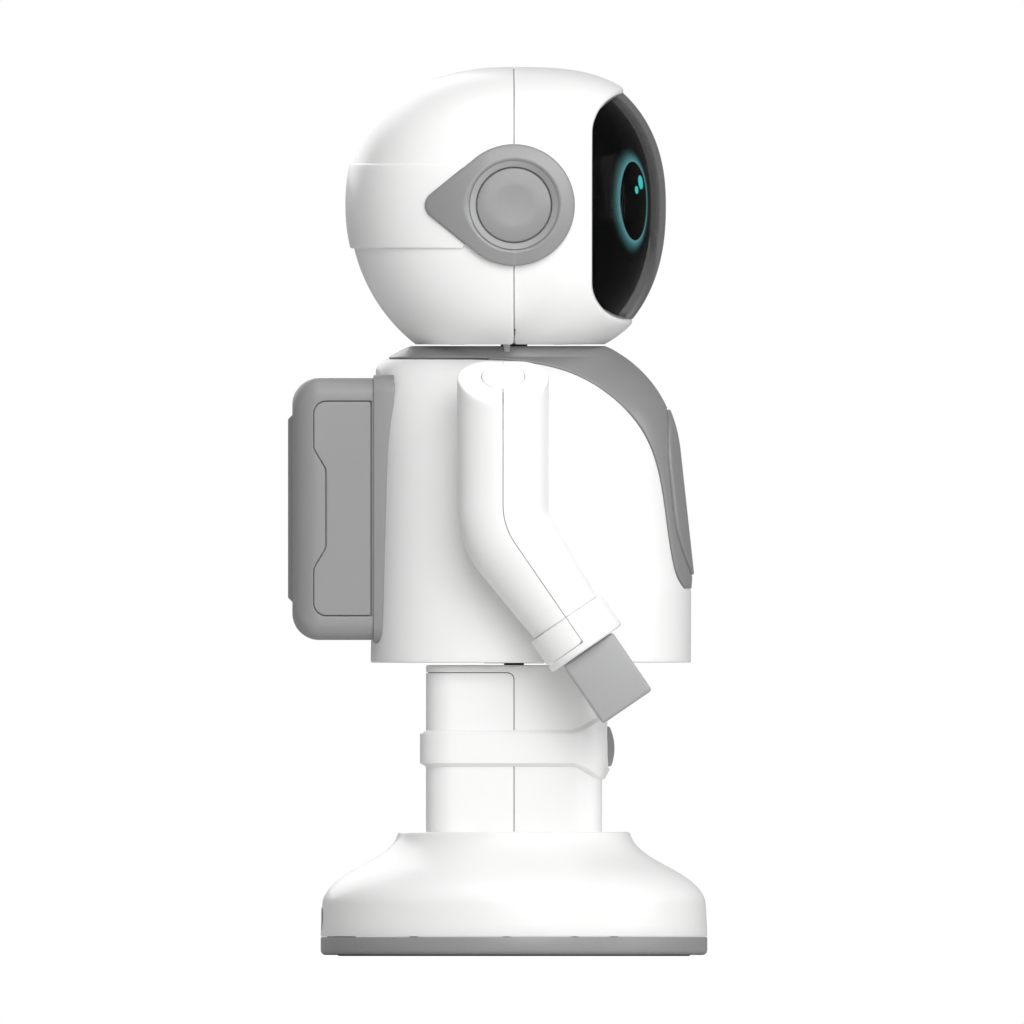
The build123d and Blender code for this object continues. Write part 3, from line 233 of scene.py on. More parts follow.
def closedShell(points, quads, lip, thickness, outwardFrom, slope=None, lipSteps=4):
    # A moulding with a real wall: the outer face, a lip round each edge and an inner face.
    # The lip is a quarter circle, out * sin(a) sideways and radius * (1 - cos(a)) down, or with
    # slope a straight bevel that drops that far.
    points, quads, tris, lip = weld(points, quads, lip)
    normals = pointNormals(points, quads, tris)
    if np.sum(normals * (points - outwardFrom)) < 0:
        quads, tris, normals = quads[:, ::-1], tris[:, ::-1], -normals
    count = len(points)
    edges = np.concatenate([faces[:, [k, (k + 1) % faces.shape[1]]]
                            for faces in (quads, tris) for k in range(faces.shape[1]) if len(faces)])
    forward, back = edges[:, 0] * count + edges[:, 1], edges[:, 1] * count + edges[:, 0]
    rim = edges[~np.isin(forward, back)]
    away = np.zeros_like(points)
    run = points[rim[:, 1]] - points[rim[:, 0]]
    run /= np.maximum(np.linalg.norm(run, axis=1), 1e-9)[:, None]
    for end in (0, 1):
        np.add.at(away, rim[:, end], np.cross(run, normals[rim[:, end]]))
    away /= np.maximum(np.linalg.norm(away, axis=1), 1e-9)[:, None]
    onRim = np.unique(rim)
    rows = []
    r = lip[onRim][:, None]
    if slope is None:
        for a in np.linspace(0, pi / 2, lipSteps + 1)[1:]:
            rows.append(points[onRim] + away[onRim] * r * sin(a) - normals[onRim] * r * (1 - cos(a)))
    else:
        for share in (0.12, 0.9, 1.0):
            rows.append(points[onRim] + away[onRim] * r * share - normals[onRim] * slope * share ** 1.4)
    rows.append(points[onRim] + away[onRim] * r - normals[onRim] * np.maximum(thickness, r))
    place = np.full(count, -1)
    place[onRim] = np.arange(len(onRim))
    allPoints = [points]
    allQuads = [quads]
    allTris = [tris]
    last = rim
    base = count
    for row in rows:
        here = base + place[rim]
        allQuads.append(np.stack([last[:, 1], last[:, 0], here[:, 0], here[:, 1]], -1))
        allPoints.append(row)
        last = here
        base += len(onRim)
    inner = base
    allPoints.append(points - normals * thickness)
    allQuads.append(np.stack([last[:, 1], last[:, 0], inner + rim[:, 0], inner + rim[:, 1]], -1))
    allQuads.append(inner + quads[:, ::-1])
    allTris.append(inner + tris[:, ::-1])
    return np.concatenate(allPoints), np.concatenate(allQuads), np.concatenate(allTris)


def sweptRows(rows, outwardFrom=None, open=False):
    # Rows of points, each a closed ring, joined to a skin; unless it stays open, the first and the
    # last ring are filled flat
    rows = np.array(rows)
    count, ring = rows.shape[:2]
    index = np.arange(count * ring).reshape(count, ring)
    following = np.roll(index, -1, axis=1)
    quads = np.stack([index[:-1], following[:-1], following[1:], index[1:]], -1).reshape(-1, 4)
    points = rows.reshape(-1, 3)
    ends = [] if open else [index[0][::-1].tolist(), index[-1].tolist()]
    centre = points.mean(axis=0) if outwardFrom is None else outwardFrom
    normals = pointNormals(points, quads)
    if np.sum(normals * (points - centre)) < 0:
        quads = quads[:, ::-1]
        ends = [end[::-1] for end in ends]
    return points, quads, ends


def piece(name, parts, body, material, stands=(), sharp=42):
    # One object of one or more (points, quads, other faces) groups, in millimetres
    points, faces, base = [], [], 0
    for part in parts:
        points.append(part[0])
        faces += (part[1] + base).tolist()
        for group in part[2:]:
            faces += [[base + int(i) for i in face] for face in group]
        base += len(part[0])
    points = np.concatenate(points) * mm
    mesh = bpy.data.meshes.new(name)
    mesh.from_pydata(points.tolist(), [], faces)
    mesh.update()
    mesh.validate()
    mesh.shade_smooth()
    mesh.set_sharp_from_angle(angle=radians(sharp))
    mesh.materials.append(material)
    thing = bpy.data.objects.new(name, mesh)
    bpy.context.scene.collection.objects.link(thing)
    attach(thing, body)
    if stands:
        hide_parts(*stands)
    return thing


def newGroup(name, inputs, outputs):
    group = bpy.data.node_groups.new(name, "ShaderNodeTree")
    for label, kind, value in inputs:
        socket = group.interface.new_socket(name=label, in_out="INPUT", socket_type=kind)
        socket.default_value = value
    for label, kind in outputs:
        group.interface.new_socket(name=label, in_out="OUTPUT", socket_type=kind)
    return group, group.nodes.new("NodeGroupInput"), group.nodes.new("NodeGroupOutput")


def addNode(tree, kind, **values):
    node = tree.nodes.new(kind)
    for key, value in values.items():
        if hasattr(node, key):
            setattr(node, key, value)
        else:
            node.inputs[key.replace("_", " ")].default_value = value
    return node


def makeMouldGroup():
    # Fine spark grain of a moulded part, its slow flow marks and a light film of dust
    group, take, give = newGroup("mouldFinish", (
        ("Colour", "NodeSocketColor", (0.8, 0.8, 0.8, 1)),
        ("Grain", "NodeSocketFloat", 900.0),
        ("Rough", "NodeSocketFloat", 0.4),
        ("Spread", "NodeSocketFloat", 0.05),
        ("Tint", "NodeSocketFloat", 0.02),
    ), (("Colour", "NodeSocketColor"), ("Roughness", "NodeSocketFloat"), ("Height", "NodeSocketFloat")))
    link = group.links.new
    place = addNode(group, "ShaderNodeTexCoord")
    grain = addNode(group, "ShaderNodeTexNoise", Detail=2.0)
    link(place.outputs["Object"], grain.inputs["Vector"])
    link(take.outputs["Grain"], grain.inputs["Scale"])
    flow = addNode(group, "ShaderNodeTexNoise", Scale=22.0, Detail=3.0)
    link(place.outputs["Object"], flow.inputs["Vector"])
    specks = addNode(group, "ShaderNodeTexNoise", Scale=2600.0, Detail=0.0)
    link(place.outputs["Object"], specks.inputs["Vector"])
    centred = addNode(group, "ShaderNodeMath", operation="SUBTRACT")
    link(flow.outputs["Fac"], centred.inputs[0])
    centred.inputs[1].default_value = 0.5
    roughAdd = addNode(group, "ShaderNodeMath", operation="MULTIPLY_ADD")
    link(centred.outputs[0], roughAdd.inputs[0])
    link(take.outputs["Spread"], roughAdd.inputs[1])
    link(take.outputs["Rough"], roughAdd.inputs[2])
    link(roughAdd.outputs[0], give.inputs["Roughness"])
    dust = addNode(group, "ShaderNodeMapRange")
    dust.inputs["From Min"].default_value = 0.68
    dust.inputs["From Max"].default_value = 0.82
    link(specks.outputs["Fac"], dust.inputs["Value"])
    shade = addNode(group, "ShaderNodeMath", operation="MULTIPLY_ADD")
    link(centred.outputs[0], shade.inputs[0])
    link(take.outputs["Tint"], shade.inputs[1])
    shade.inputs[2].default_value = 1.0
    dull = addNode(group, "ShaderNodeMath", operation="MULTIPLY")
    link(dust.outputs["Result"], dull.inputs[0])
    link(take.outputs["Tint"], dull.inputs[1])
    total = addNode(group, "ShaderNodeMath", operation="SUBTRACT")
    link(shade.outputs[0], total.inputs[0])
    link(dull.outputs[0], total.inputs[1])
    paint = addNode(group, "ShaderNodeVectorMath", operation="SCALE")
    link(take.outputs["Colour"], paint.inputs[0])
    link(total.outputs[0], paint.inputs["Scale"])
    link(paint.outputs[0], give.inputs["Colour"])
    link(grain.outputs["Fac"], give.inputs["Height"])
    return group


mouldGroup = makeMouldGroup()


def moulded(name, colour, rough, grain=900.0, bump=0.00002, spread=0.08, tint=0.03, coat=0.0, metallic=0.0,
            specular=0.5):
    material = bpy.data.materials.new(name)
    material.use_nodes = True
    tree = material.node_tree
    shader = tree.nodes["Principled BSDF"]
    finish = tree.nodes.new("ShaderNodeGroup")
    finish.node_tree = mouldGroup
    finish.inputs["Colour"].default_value = (*colour, 1)
    finish.inputs["Grain"].default_value = grain
    finish.inputs["Rough"].default_value = rough
    finish.inputs["Spread"].default_value = spread
    finish.inputs["Tint"].default_value = tint
    relief = addNode(tree, "ShaderNodeBump", Strength=1.0, Distance=bump)
    tree.links.new(finish.outputs["Colour"], shader.inputs["Base Color"])
    tree.links.new(finish.outputs["Roughness"], shader.inputs["Roughness"])
    tree.links.new(finish.outputs["Height"], relief.inputs["Height"])
    tree.links.new(relief.outputs["Normal"], shader.inputs["Normal"])
    shader.inputs["Coat Weight"].default_value = coat
    shader.inputs["Coat Roughness"].default_value = 0.12
    shader.inputs["Metallic"].default_value = metallic
    shader.inputs["Specular IOR Level"].default_value = specular
    return material


finishes = {
    "whiteShell": dict(colour=(0.86, 0.86, 0.855), rough=0.36, grain=1100.0, bump=0.000008, tint=0.012,
                       coat=0.08),
    "greyShell": dict(colour=(0.24, 0.24, 0.242), rough=0.42, grain=1500.0, bump=0.000022, tint=0.04,
                      coat=0.25),
    "lightGrey": dict(colour=(0.235, 0.235, 0.237), rough=0.42, grain=1500.0, bump=0.000022, tint=0.04,
                      coat=0.25),
    "handGrey": dict(colour=(0.36, 0.36, 0.362), rough=0.42, grain=1500.0, bump=0.000022, tint=0.04),
    "packGrey": dict(colour=(0.275, 0.275, 0.277), rough=0.45, grain=1500.0, bump=0.000022, tint=0.04),
    # near-black sheet material: painted shade for the shadow inside the seam gaps of head and legs
    "seamShadeGrey": dict(colour=(0.06, 0.06, 0.06), rough=0.7, grain=900.0, bump=0.00002, tint=0.1),
    "blackPlastic": dict(colour=(0.016, 0.016, 0.017), rough=0.5, grain=1200.0, bump=0.00002, tint=0.1),
    "faceBlack": dict(colour=(0.009, 0.009, 0.01), rough=0.5, grain=1800.0, bump=0.000002, specular=0.12),
    "rubber": dict(colour=(0.03, 0.03, 0.03), rough=0.8, grain=700.0, bump=0.00004, tint=0.2),
    "screwSteel": dict(colour=(0.58, 0.58, 0.6), rough=0.28, grain=500.0, bump=0.000008, metallic=1.0),
    "ballastSteel": dict(colour=(0.36, 0.36, 0.37), rough=0.5, grain=300.0, bump=0.00002, metallic=1.0),
    "board": dict(colour=(0.012, 0.11, 0.045), rough=0.32, grain=260.0, bump=0.00003, tint=0.3),
    "cellWrap": dict(colour=(0.02, 0.09, 0.3), rough=0.25, grain=200.0, bump=0.00001, tint=0.05),
    "connectorSteel": dict(colour=(0.72, 0.72, 0.72), rough=0.2, grain=600.0, bump=0.000004, metallic=1.0),
    "speakerFrame": dict(colour=(0.03, 0.03, 0.032), rough=0.42, grain=900.0, bump=0.00002, tint=0.1),
}
mats = {name: moulded(name, **values) for name, values in finishes.items()}
slotFinish = {
    "white_shell": "whiteShell", "grey_shell": "greyShell", "light_grey": "lightGrey",
    "black_plastic": "blackPlastic", "rubber": "rubber", "screw_steel": "screwSteel",
    "ballast_steel": "ballastSteel", "board": "board", "cell_wrap": "cellWrap",
    "connector_steel": "connectorSteel", "speaker_frame": "speakerFrame",
    "dark_face": "blackPlastic", "smoked_lens": "blackPlastic", "eye_display": "connectorSteel",
}


def makeSmoked():
    material = bpy.data.materials.new("smokedLens")
    material.use_nodes = True
    tree = material.node_tree
    shader = tree.nodes["Principled BSDF"]
    shader.inputs["Transmission Weight"].default_value = 1.0
    shader.inputs["IOR"].default_value = 1.09
    place = addNode(tree, "ShaderNodeTexCoord")
    haze = addNode(tree, "ShaderNodeTexNoise", Scale=40.0, Detail=2.0)
    tree.links.new(place.outputs["Object"], haze.inputs["Vector"])
    rough = addNode(tree, "ShaderNodeMapRange")
    rough.inputs["To Min"].default_value = 0.015
    rough.inputs["To Max"].default_value = 0.045
    tree.links.new(haze.outputs["Fac"], rough.inputs["Value"])
    tree.links.new(rough.outputs["Result"], shader.inputs["Roughness"])
    smoke = addNode(tree, "ShaderNodeMix", data_type="RGBA")
    smoke.inputs["A"].default_value = (0.39, 0.39, 0.39, 1)
    smoke.inputs["B"].default_value = (0.42, 0.42, 0.42, 1)
    tree.links.new(haze.outputs["Fac"], smoke.inputs["Factor"])
    tree.links.new(smoke.outputs["Result"], shader.inputs["Base Color"])
    return material


eyes = {
    "apart": 58.0, "rise": 1.5, "outward": 1.0, "halfWidth": 8.6, "halfHeight": 11.8,
    "glowReach": 1.4, "glowPower": 2.2, "glowColour": (0.055, 0.17, 0.18), "glowStrength": 4.2,
    "sparkColour": (0.03, 0.3, 0.28), "sparks": ((-3.4, 5.6, (2.0, 2.1)), (0.2, 3.3, (1.15, 1.2))),
    "panel": (12.2, 16.6),
}


def makeScreen():
    # Black screen with a lit ring round each pupil. Ring: with q the oval distance (1 on the pupil's
    # edge), light falls from the edge outwards as (1 - (q - 1) / (reach - 1)) ^ glowPower, and inside
    # it is dark. Sparks: two small ovals over the pupil's middle, the larger one towards the nose.
    material = bpy.data.materials.new("screenGlow")
    material.use_nodes = True
    tree = material.node_tree
    link = tree.links.new
    shader = tree.nodes["Principled BSDF"]
    place = addNode(tree, "ShaderNodeTexCoord")
    split = addNode(tree, "ShaderNodeSeparateXYZ")
    link(place.outputs["Object"], split.inputs[0])

    def math(operation, a, b=None, clamp=False):
        node = addNode(tree, "ShaderNodeMath", operation=operation)
        node.use_clamp = clamp
        for socket, value in zip(node.inputs, (a, b)):
            if value is None:
                continue
            if isinstance(value, (int, float)):
                socket.default_value = value
            else:
                link(value, socket)
        return node.outputs[0]

    def oval(across, up, centre, size):
        a = math("DIVIDE", math("SUBTRACT", across, centre[0] * mm), size[0] * mm)
        b = math("DIVIDE", math("SUBTRACT", up, centre[1] * mm), size[1] * mm)
        return math("SQRT", math("ADD", math("MULTIPLY", a, a), math("MULTIPLY", b, b)))

    side = math("ABSOLUTE", split.outputs["X"])
    z = split.outputs["Z"]
    middle = (eyes["apart"] / 2 + eyes["outward"], headZ + eyes["rise"])
    distance = oval(side, z, middle, (eyes["halfWidth"], eyes["halfHeight"]))
    outside = math("GREATER_THAN", distance, 1.0)
    out = math("DIVIDE", math("SUBTRACT", distance, 1.0), eyes["glowReach"] - 1.0)
    fade = math("SUBTRACT", 1.0, out, clamp=True)
    ring = math("MULTIPLY", math("POWER", fade, eyes["glowPower"]), outside)
    large, small = [math("LESS_THAN", oval(side, z, (middle[0] + across, middle[1] + up), size), 1.0)
                    for across, up, size in eyes["sparks"]]
    spark = math("MAXIMUM", large, small)
    glow = addNode(tree, "ShaderNodeMix", data_type="RGBA")
    glow.inputs["A"].default_value = (0, 0, 0, 1)
    glow.inputs["B"].default_value = (*eyes["glowColour"], 1)
    link(ring, glow.inputs["Factor"])
    lit = addNode(tree, "ShaderNodeMix", data_type="RGBA")
    link(glow.outputs["Result"], lit.inputs["A"])
    lit.inputs["B"].default_value = (*eyes["sparkColour"], 1)
    link(spark, lit.inputs["Factor"])
    link(lit.outputs["Result"], shader.inputs["Emission Color"])
    shader.inputs["Emission Strength"].default_value = eyes["glowStrength"]
    grain = addNode(tree, "ShaderNodeTexNoise", Scale=1800.0, Detail=1.0)
    link(place.outputs["Object"], grain.inputs["Vector"])
    tone = addNode(tree, "ShaderNodeMix", data_type="RGBA")
    tone.inputs["A"].default_value = (0.006, 0.006, 0.007, 1)
    tone.inputs["B"].default_value = (0.011, 0.011, 0.012, 1)
    link(grain.outputs["Fac"], tone.inputs["Factor"])
    link(tone.outputs["Result"], shader.inputs["Base Color"])
    shader.inputs["Roughness"].default_value = 0.5
    shader.inputs["Specular IOR Level"].default_value = 0.12
    return material


mats["smokedLens"] = makeSmoked()
mats["screenGlow"] = makeScreen()

# Every carried-over node takes the finish of its slot
for row in frame["record"]["subparts"]:
    node = nodes[row["node"]]
    node.data.materials.clear()
    node.data.materials.append(mats[slotFinish[row["material_slot"]]])
print("finishes made")


head = {
    "halfWidth": 54.0, "ahead": 45.8, "behind": 49.5, "up": 41.7,
    "power": 2.3, "brow": 2.9, "chin": 2.6, "nape": 2.0, "chinDown": 46.5, "napeDown": 51.7,
    "sidePower": 2.6, "earFlat": 0.34,
    "wall": 2.2, "visorEdge": -24.0, "visorTop": 22.8, "visorLow": 34.2, "climb": 20.0,
    "topRadius": 12.1, "lowRadius": 10.5, "visorLip": 1.5, "seamLip": 0.1, "seamGap": 0.13,
    "bandRise": 1.1, "bandHalf": 12.9, "bandFrom": 12.4,
    "earRadius": 18.3, "earTip": 26.7, "earTipRadius": 4.0, "earRise": 2.6, "earMiddle": 0.3,
    "dishMouth": 13.5, "dishFloor": 11.55, "buttonRadius": 11.2, "stemRadius": 2.4,
    # the seam strip's depth and half-width: a dark strip that paints the shadow in the seam's gap
    "seamShadeDrop": 0.45, "seamShadeHalf": 0.05, "neckHole": 4.6, "bandLip": 0.75,
}
lens = {"ahead": 45.6, "up": 44.6, "chinDown": 48.7, "chin": 2.3, "brow": 2.3}
screen = {"ahead": 41.4, "up": 41.6, "chinDown": 45.8, "chin": 2.3, "brow": 2.3, "halfWidth": 50.4}
headMiddle = np.array([0, 0, headZ])


def quarterSizes(form, front, high, grow):
    reach = np.where(front, form["ahead"], form["behind"]) + grow
    low = np.where(front, form["chinDown"], form["napeDown"])
    rise = np.where(high, form["up"], low) + grow
    lowPower = np.where(front, form["chin"], form["nape"])
    return reach, rise, np.where(high, np.where(front, form["brow"], form["power"]), lowPower)


def headSurface(grow=0.0, **changes):
    # A profile of four super-elliptic quarters in the side view, r = 1 / (|cos/a|^p + |sin/b|^p)^(1/p),
    # which shrinks towards the ears by the share of a second super-ellipse across the head
    form = dict(head, **changes)

    def surface(along, across):
        c, s = np.cos(along), np.sin(along)
        reach, rise, power = quarterSizes(form, c >= 0, s >= 0, grow)
        r = 1 / ((np.abs(c) / reach) ** power + (np.abs(s) / rise) ** power) ** (1 / power)
        ca, sa = np.cos(across), np.sin(across)
        q = form["sidePower"]
        size = (np.abs(ca) ** q + np.abs(sa) ** q) ** (-1 / q)
        return np.stack([(form["halfWidth"] + grow) * sa * size, -r * c * ca * size,
                         headZ + r * s * ca * size], -1)
    return surface


def headWidthAt(y, z, grow):
    # How far out the head is at (Y, Z), from the same two super-ellipses
    v = z - headZ
    reach, rise, power = quarterSizes(head, y <= 0, v >= 0, grow)
    share = ((np.abs(y) / reach) ** power + (np.abs(v) / rise) ** power) ** (1 / power)
    q = head["sidePower"]
    return (head["halfWidth"] + grow) * (1 - np.clip(share, 0, 1) ** q) ** (1 / q)


def visorOutline(grow=0.0):
    edge, low = head["visorEdge"] + grow, headZ - head["visorLow"] - grow
    turn = radians(90 - head["climb"])
    # where the climbing top line would meet the straight side
    arcEnd = (-head["topRadius"] * (1 - cos(turn)), head["visorTop"] + head["topRadius"] * sin(turn))
    slope = tan(radians(head["climb"]))
    top = headZ + arcEnd[1] + arcEnd[0] * slope + grow / cos(radians(head["climb"]))
    far = 80.0
    corners = [(edge, low), (edge, top + grow * slope), (edge - far, top + far * slope), (edge - far, low)]
    return roundedPolygon(corners, (head["lowRadius"] + grow, head["topRadius"] + grow, 0, 0))


def teardropReach(angle, grow=0.0):
    # Distance from the ear's middle to the teardrop's edge; angle 0 points at the tip behind
    big, tip = head["earRadius"] + grow, head["earTipRadius"] + grow
    tipAt = head["earTip"] - head["earTipRadius"]
    tangent = np.arccos((big - tip) / tipAt)
    tipTurn = atan2(tip * sin(tangent), tipAt + tip * cos(tangent))
    a = np.abs((angle + pi) % (2 * pi) - pi)
    line = big / np.cos(np.minimum(a, tangent) - tangent)
    nose = tipAt * np.cos(a) + np.sqrt(np.maximum(tip ** 2 - (tipAt * np.sin(a)) ** 2, 0))
    return np.where(a > tangent, big, np.where(a < tipTurn, nose, line))


def teardropOutline(grow=0.0):
    a = np.linspace(-pi, pi, 121)[:-1]
    r = teardropReach(a, grow)
    return np.stack([r * np.cos(a), headZ + head["earMiddle"] + r * np.sin(a)], -1)


def makeHelmet():
    flatTurn = atan2((1 - head["earFlat"] ** head["sidePower"]) ** (1 / head["sidePower"]), head["earFlat"])
    across = np.linspace(-flatTurn, flatTurn, 230)
    skin = headSurface()
    aboveNeck = (lambda p: p[..., 2] - neckZ, head["seamLip"])
    front = trimmed(skin, np.linspace(-pi / 2, pi / 2, 190), across, [
        (lambda p: -p[..., 1] - head["seamGap"], head["seamLip"]), aboveNeck,
        (sideOutline(visorOutline(), -1), head["visorLip"])], edgeLip=head["seamLip"])
    piece("helmet_front", [closedShell(*front, head["wall"], headMiddle)], "head",
          mats["whiteShell"], ("head_front_shell",))
    back = trimmed(skin, np.linspace(pi / 2, 3 * pi / 2, 190), across, [
        (lambda p: p[..., 1] - head["seamGap"], head["seamLip"]), aboveNeck], edgeLip=head["seamLip"])
    piece("helmet_back", [closedShell(*back, head["wall"], headMiddle)], "head",
          mats["whiteShell"], ("head_back_shell",))

    # dark strip behind the seam, over the crown and again up to the neck's cut: painted shade, a dark sheet
    # standing in for the shadow inside the seam's gap
    under, half = headSurface(-head["seamShadeDrop"]), head["seamShadeHalf"]
    seamShades = [trimmed(under, np.linspace(middle - half, middle + half, 9), across, limits, edgeLip=0.05)
             for middle, limits in ((0.5 * pi, []), (-0.5 * pi, [(lambda p: p[..., 2] - neckZ - 0.6, 0.05)]))]
    piece("head_seam_shade", [closedShell(*part, 0.8, headMiddle) for part in seamShades], "head",
          mats["seamShadeGrey"])

    def neckLevel(u, v):
        return np.stack([u, v, neckZ + 0.05 + 0 * u], -1)

    plate = trimmed(neckLevel, np.linspace(-50, 50, 120), np.linspace(-42, 46, 110), [
        (lambda p: headWidthAt(p[..., 1], p[..., 2], -head["wall"] - 0.15) - np.abs(p[..., 0]), 0.2),
        (lambda p: np.hypot(p[..., 0], p[..., 1]) - head["neckHole"], 0.2)])
    piece("neck_plate", [closedShell(*plate, 2.2, headMiddle)], "head", mats["whiteShell"],
          ("head_base_plate",))

    band = trimmed(headSurface(head["bandRise"]), np.linspace(pi - 1.2, pi + 1.2, 150), across, [
        (lambda p: head["bandHalf"] - np.abs(p[..., 2] - headZ), head["bandLip"]),
        (lambda p: p[..., 1] - head["bandFrom"], 0.1),
        (sideOutline(teardropOutline(0.1), -1), 0.1)])
    piece("headband", [closedShell(*band, 1.6, headMiddle)], "head", mats["whiteShell"])


def makeVisor():
    widest = 1.05 * pi / 2 * 0.9
    across, along = np.linspace(-widest, widest, 170), np.linspace(-1.25, 1.25, 170)
    glass = trimmed(headSurface(0.0, **lens), along, across, [(sideOutline(visorOutline()), 0.35)])
    piece("visor_glass", [closedShell(*glass, 1.5, headMiddle)], "head",
          mats["smokedLens"], ("visor_lens",))

    face = headSurface(0.0, **screen)
    turn = np.linspace(0, 2 * pi, 61)[:-1]
    halfWide, halfHigh = eyes["panel"]
    holes = {side: np.stack([side * (eyes["apart"] / 2 + eyes["outward"]) + halfWide * np.cos(turn),
                             headZ + eyes["rise"] + halfHigh * np.sin(turn)], -1) for side in (-1, 1)}
    for side, name in ((-1, "right"), (1, "left")):
        eye = trimmed(face, np.linspace(-0.6, 0.75, 90), side * np.linspace(0.15, 1.45, 90),
                      [(frontOutline(holes[side]), 0.02)])
        piece(f"{name}_eye_screen", [closedShell(*eye, 1.0, headMiddle)], "head",
              mats["screenGlow"], (f"{name}_eye",))
    bothHoles = (lambda p: -insideDistance(holes[-1], -np.abs(p[..., 0]), p[..., 2]), 0.02)
    panel = trimmed(face, along, across, [(sideOutline(visorOutline(-0.05)), 0.2), bothHoles])
    piece("face_screen", [closedShell(*panel, 1.4, headMiddle)], "head",
          mats["faceBlack"], ("face_panel",))


def makeEars():
    turn = np.linspace(-pi, pi, 181)[:-1]
    middle = headZ + head["earMiddle"]
    flatX = lowHigh("left_ear_button")[1][0] - 0.15
    for side, name in ((-1, "right"), (1, "left")):

        def ring(r, x):
            return np.stack([side * (x + 0 * turn), r * np.cos(turn), middle + r * np.sin(turn)], -1)

        def widthAt(r):
            return headWidthAt(r * np.cos(turn), middle + r * np.sin(turn), head["earRise"])

        def onHead(r, drop=0.0):
            return ring(r, widthAt(r) - drop)

        edge = teardropReach(turn)
        mouth, floor, lip = head["dishMouth"], head["dishFloor"], 0.55
        faceX = widthAt(mouth)
        button = head["buttonRadius"]
        rows = [ring(10.0, flatX - 3.5), ring(button + 0.12, flatX - 3.5), ring(button + 0.12, flatX - 0.55),
                ring(button + 0.3, flatX - 0.42)]
        low = flatX + 0.5
        for share in (0.0, 0.33, 0.67, 0.94, 1.0):
            rows.append(ring(floor + share * (mouth - floor), low - 0.3 + (faceX - low) * share))
        # a lighter grey ring laid over the dish's slope, in the hands' grey: painted light standing in for
        # the lit slope of the recess
        litRingPaint = [ring(floor + share * (mouth - 0.25 - floor), low + (faceX - low - 0.05) * share)
                for share in (0.0, 0.08, 0.5, 0.92, 1.0)]
        litRingPaint += [ring(mouth - 0.25, faceX - 0.8), ring(floor, low - 0.28)]
        piece(f"{name}_ear_lit_ring_paint", [sweptRows(litRingPaint + litRingPaint[:1], open=True)], "head",
              mats["handGrey"], sharp=30)
        for share in np.linspace(0, 1, 14)[1:] ** 0.9:
            rows.append(onHead(mouth + 0.25 + (edge - lip - mouth - 0.25) * share))
        for a in np.linspace(0, pi / 2, 6)[1:]:
            rows.append(onHead(edge - lip + lip * sin(a), lip * (1 - cos(a))))
        rows.append(onHead(edge, head["earRise"] + 0.4))
        rows.append(onHead(edge - 3.0, head["earRise"] + 0.6))
        disc = sweptRows(rows, np.array([side * 20.0, 0, middle]))
        piece(f"{name}_ear_disc", [disc[:2]], "head", mats["greyShell"],
              (f"{name}_ear_cap",), sharp=30)

        bevel = 0.45
        rows = [ring(0.6, flatX - 0.16), ring(button * 0.5, flatX - 0.12)]
        rows += [ring(button - bevel + bevel * sin(a), flatX - bevel * (1 - cos(a)))
                 for a in np.linspace(0, pi / 2, 5)]
        rows.append(ring(button, flatX - 2.0))
        stem = [ring(head["stemRadius"], flatX - drop) for drop in (1.9, 7.0)]
        piece(f"{name}_ear_push", [sweptRows(rows), sweptRows(stem)], f"{name}_ear_button",
              mats["lightGrey"], (f"{name}_ear_button",))


makeHelmet()
makeVisor()
makeEars()
print("head made")


torso = {
    "side": 47.5, "sideLean": 0.04, "front": 56.2, "frontLean": 0.109, "back": 43.0, "backLean": 0.018,
    "frontPower": 2.4, "backPower": 2.9, "wall": 2.2,
    "chestStart": 62.2, "chestRise": 37.5, "chestPower": 2.35,
    "shoulderStart": 51.5, "shoulderRise": 47.5, "shoulderPower": 2.5,
    "corner": 4.5, "hemDraw": 1.6, "bibRise": 0.7, "bibLow": 21.6,
    "bibBand": 3.2, "bibSlope": 0.6, "collar": (27.2, 30.6, 28.5),
    "panelLow": 25.8, "panelHeight": 50.0, "panelHalf": 21.0, "panelRise": 0.7,
}
bibEdge = [(-86, 0.3), (-20, 0.3), (0, 0.9), (17.2, 4.5), (30.1, 12.2), (39.6, 23.4),
           (45.2, 42.4), (48.2, 62.2), (49.6, 66.6), (51.6, 69.6)]


def torsoSizes(z):
    # Straight leaning walls that round over at the top, each as (1 - over^p)^(1/p)
    rise = z - hemZ
    ahead = torso["front"] - torso["frontLean"] * rise - torso["bibRise"]
    ahead = ahead - 1.5 * torso["hemDraw"] * np.maximum(0, 1 - rise / torso["bibLow"])
    over = np.maximum(0, rise - torso["chestStart"]) / torso["chestRise"]
    ahead = ahead * (1 - over ** torso["chestPower"]) ** (1 / torso["chestPower"])
    side = torso["side"] - torso["sideLean"] * rise
    over = np.maximum(0, rise - torso["shoulderStart"]) / torso["shoulderRise"]
    side = side * (1 - over ** torso["shoulderPower"]) ** (1 / torso["shoulderPower"])
    corner = torso["corner"]
    over = np.clip(z - (torsoTop - corner), 0, corner)
    behind = torso["back"] - torso["backLean"] * rise - corner + np.sqrt(corner ** 2 - over ** 2)
    return ahead, behind, side


def planReach(turn, ahead, behind, side):
    c, s = np.cos(turn), np.sin(turn)
    reach = np.where(c >= 0, ahead, behind)
    power = np.where(c >= 0, torso["frontPower"], torso["backPower"])
    return 1 / ((np.abs(c) / reach) ** power + (np.abs(s) / side) ** power) ** (1 / power)


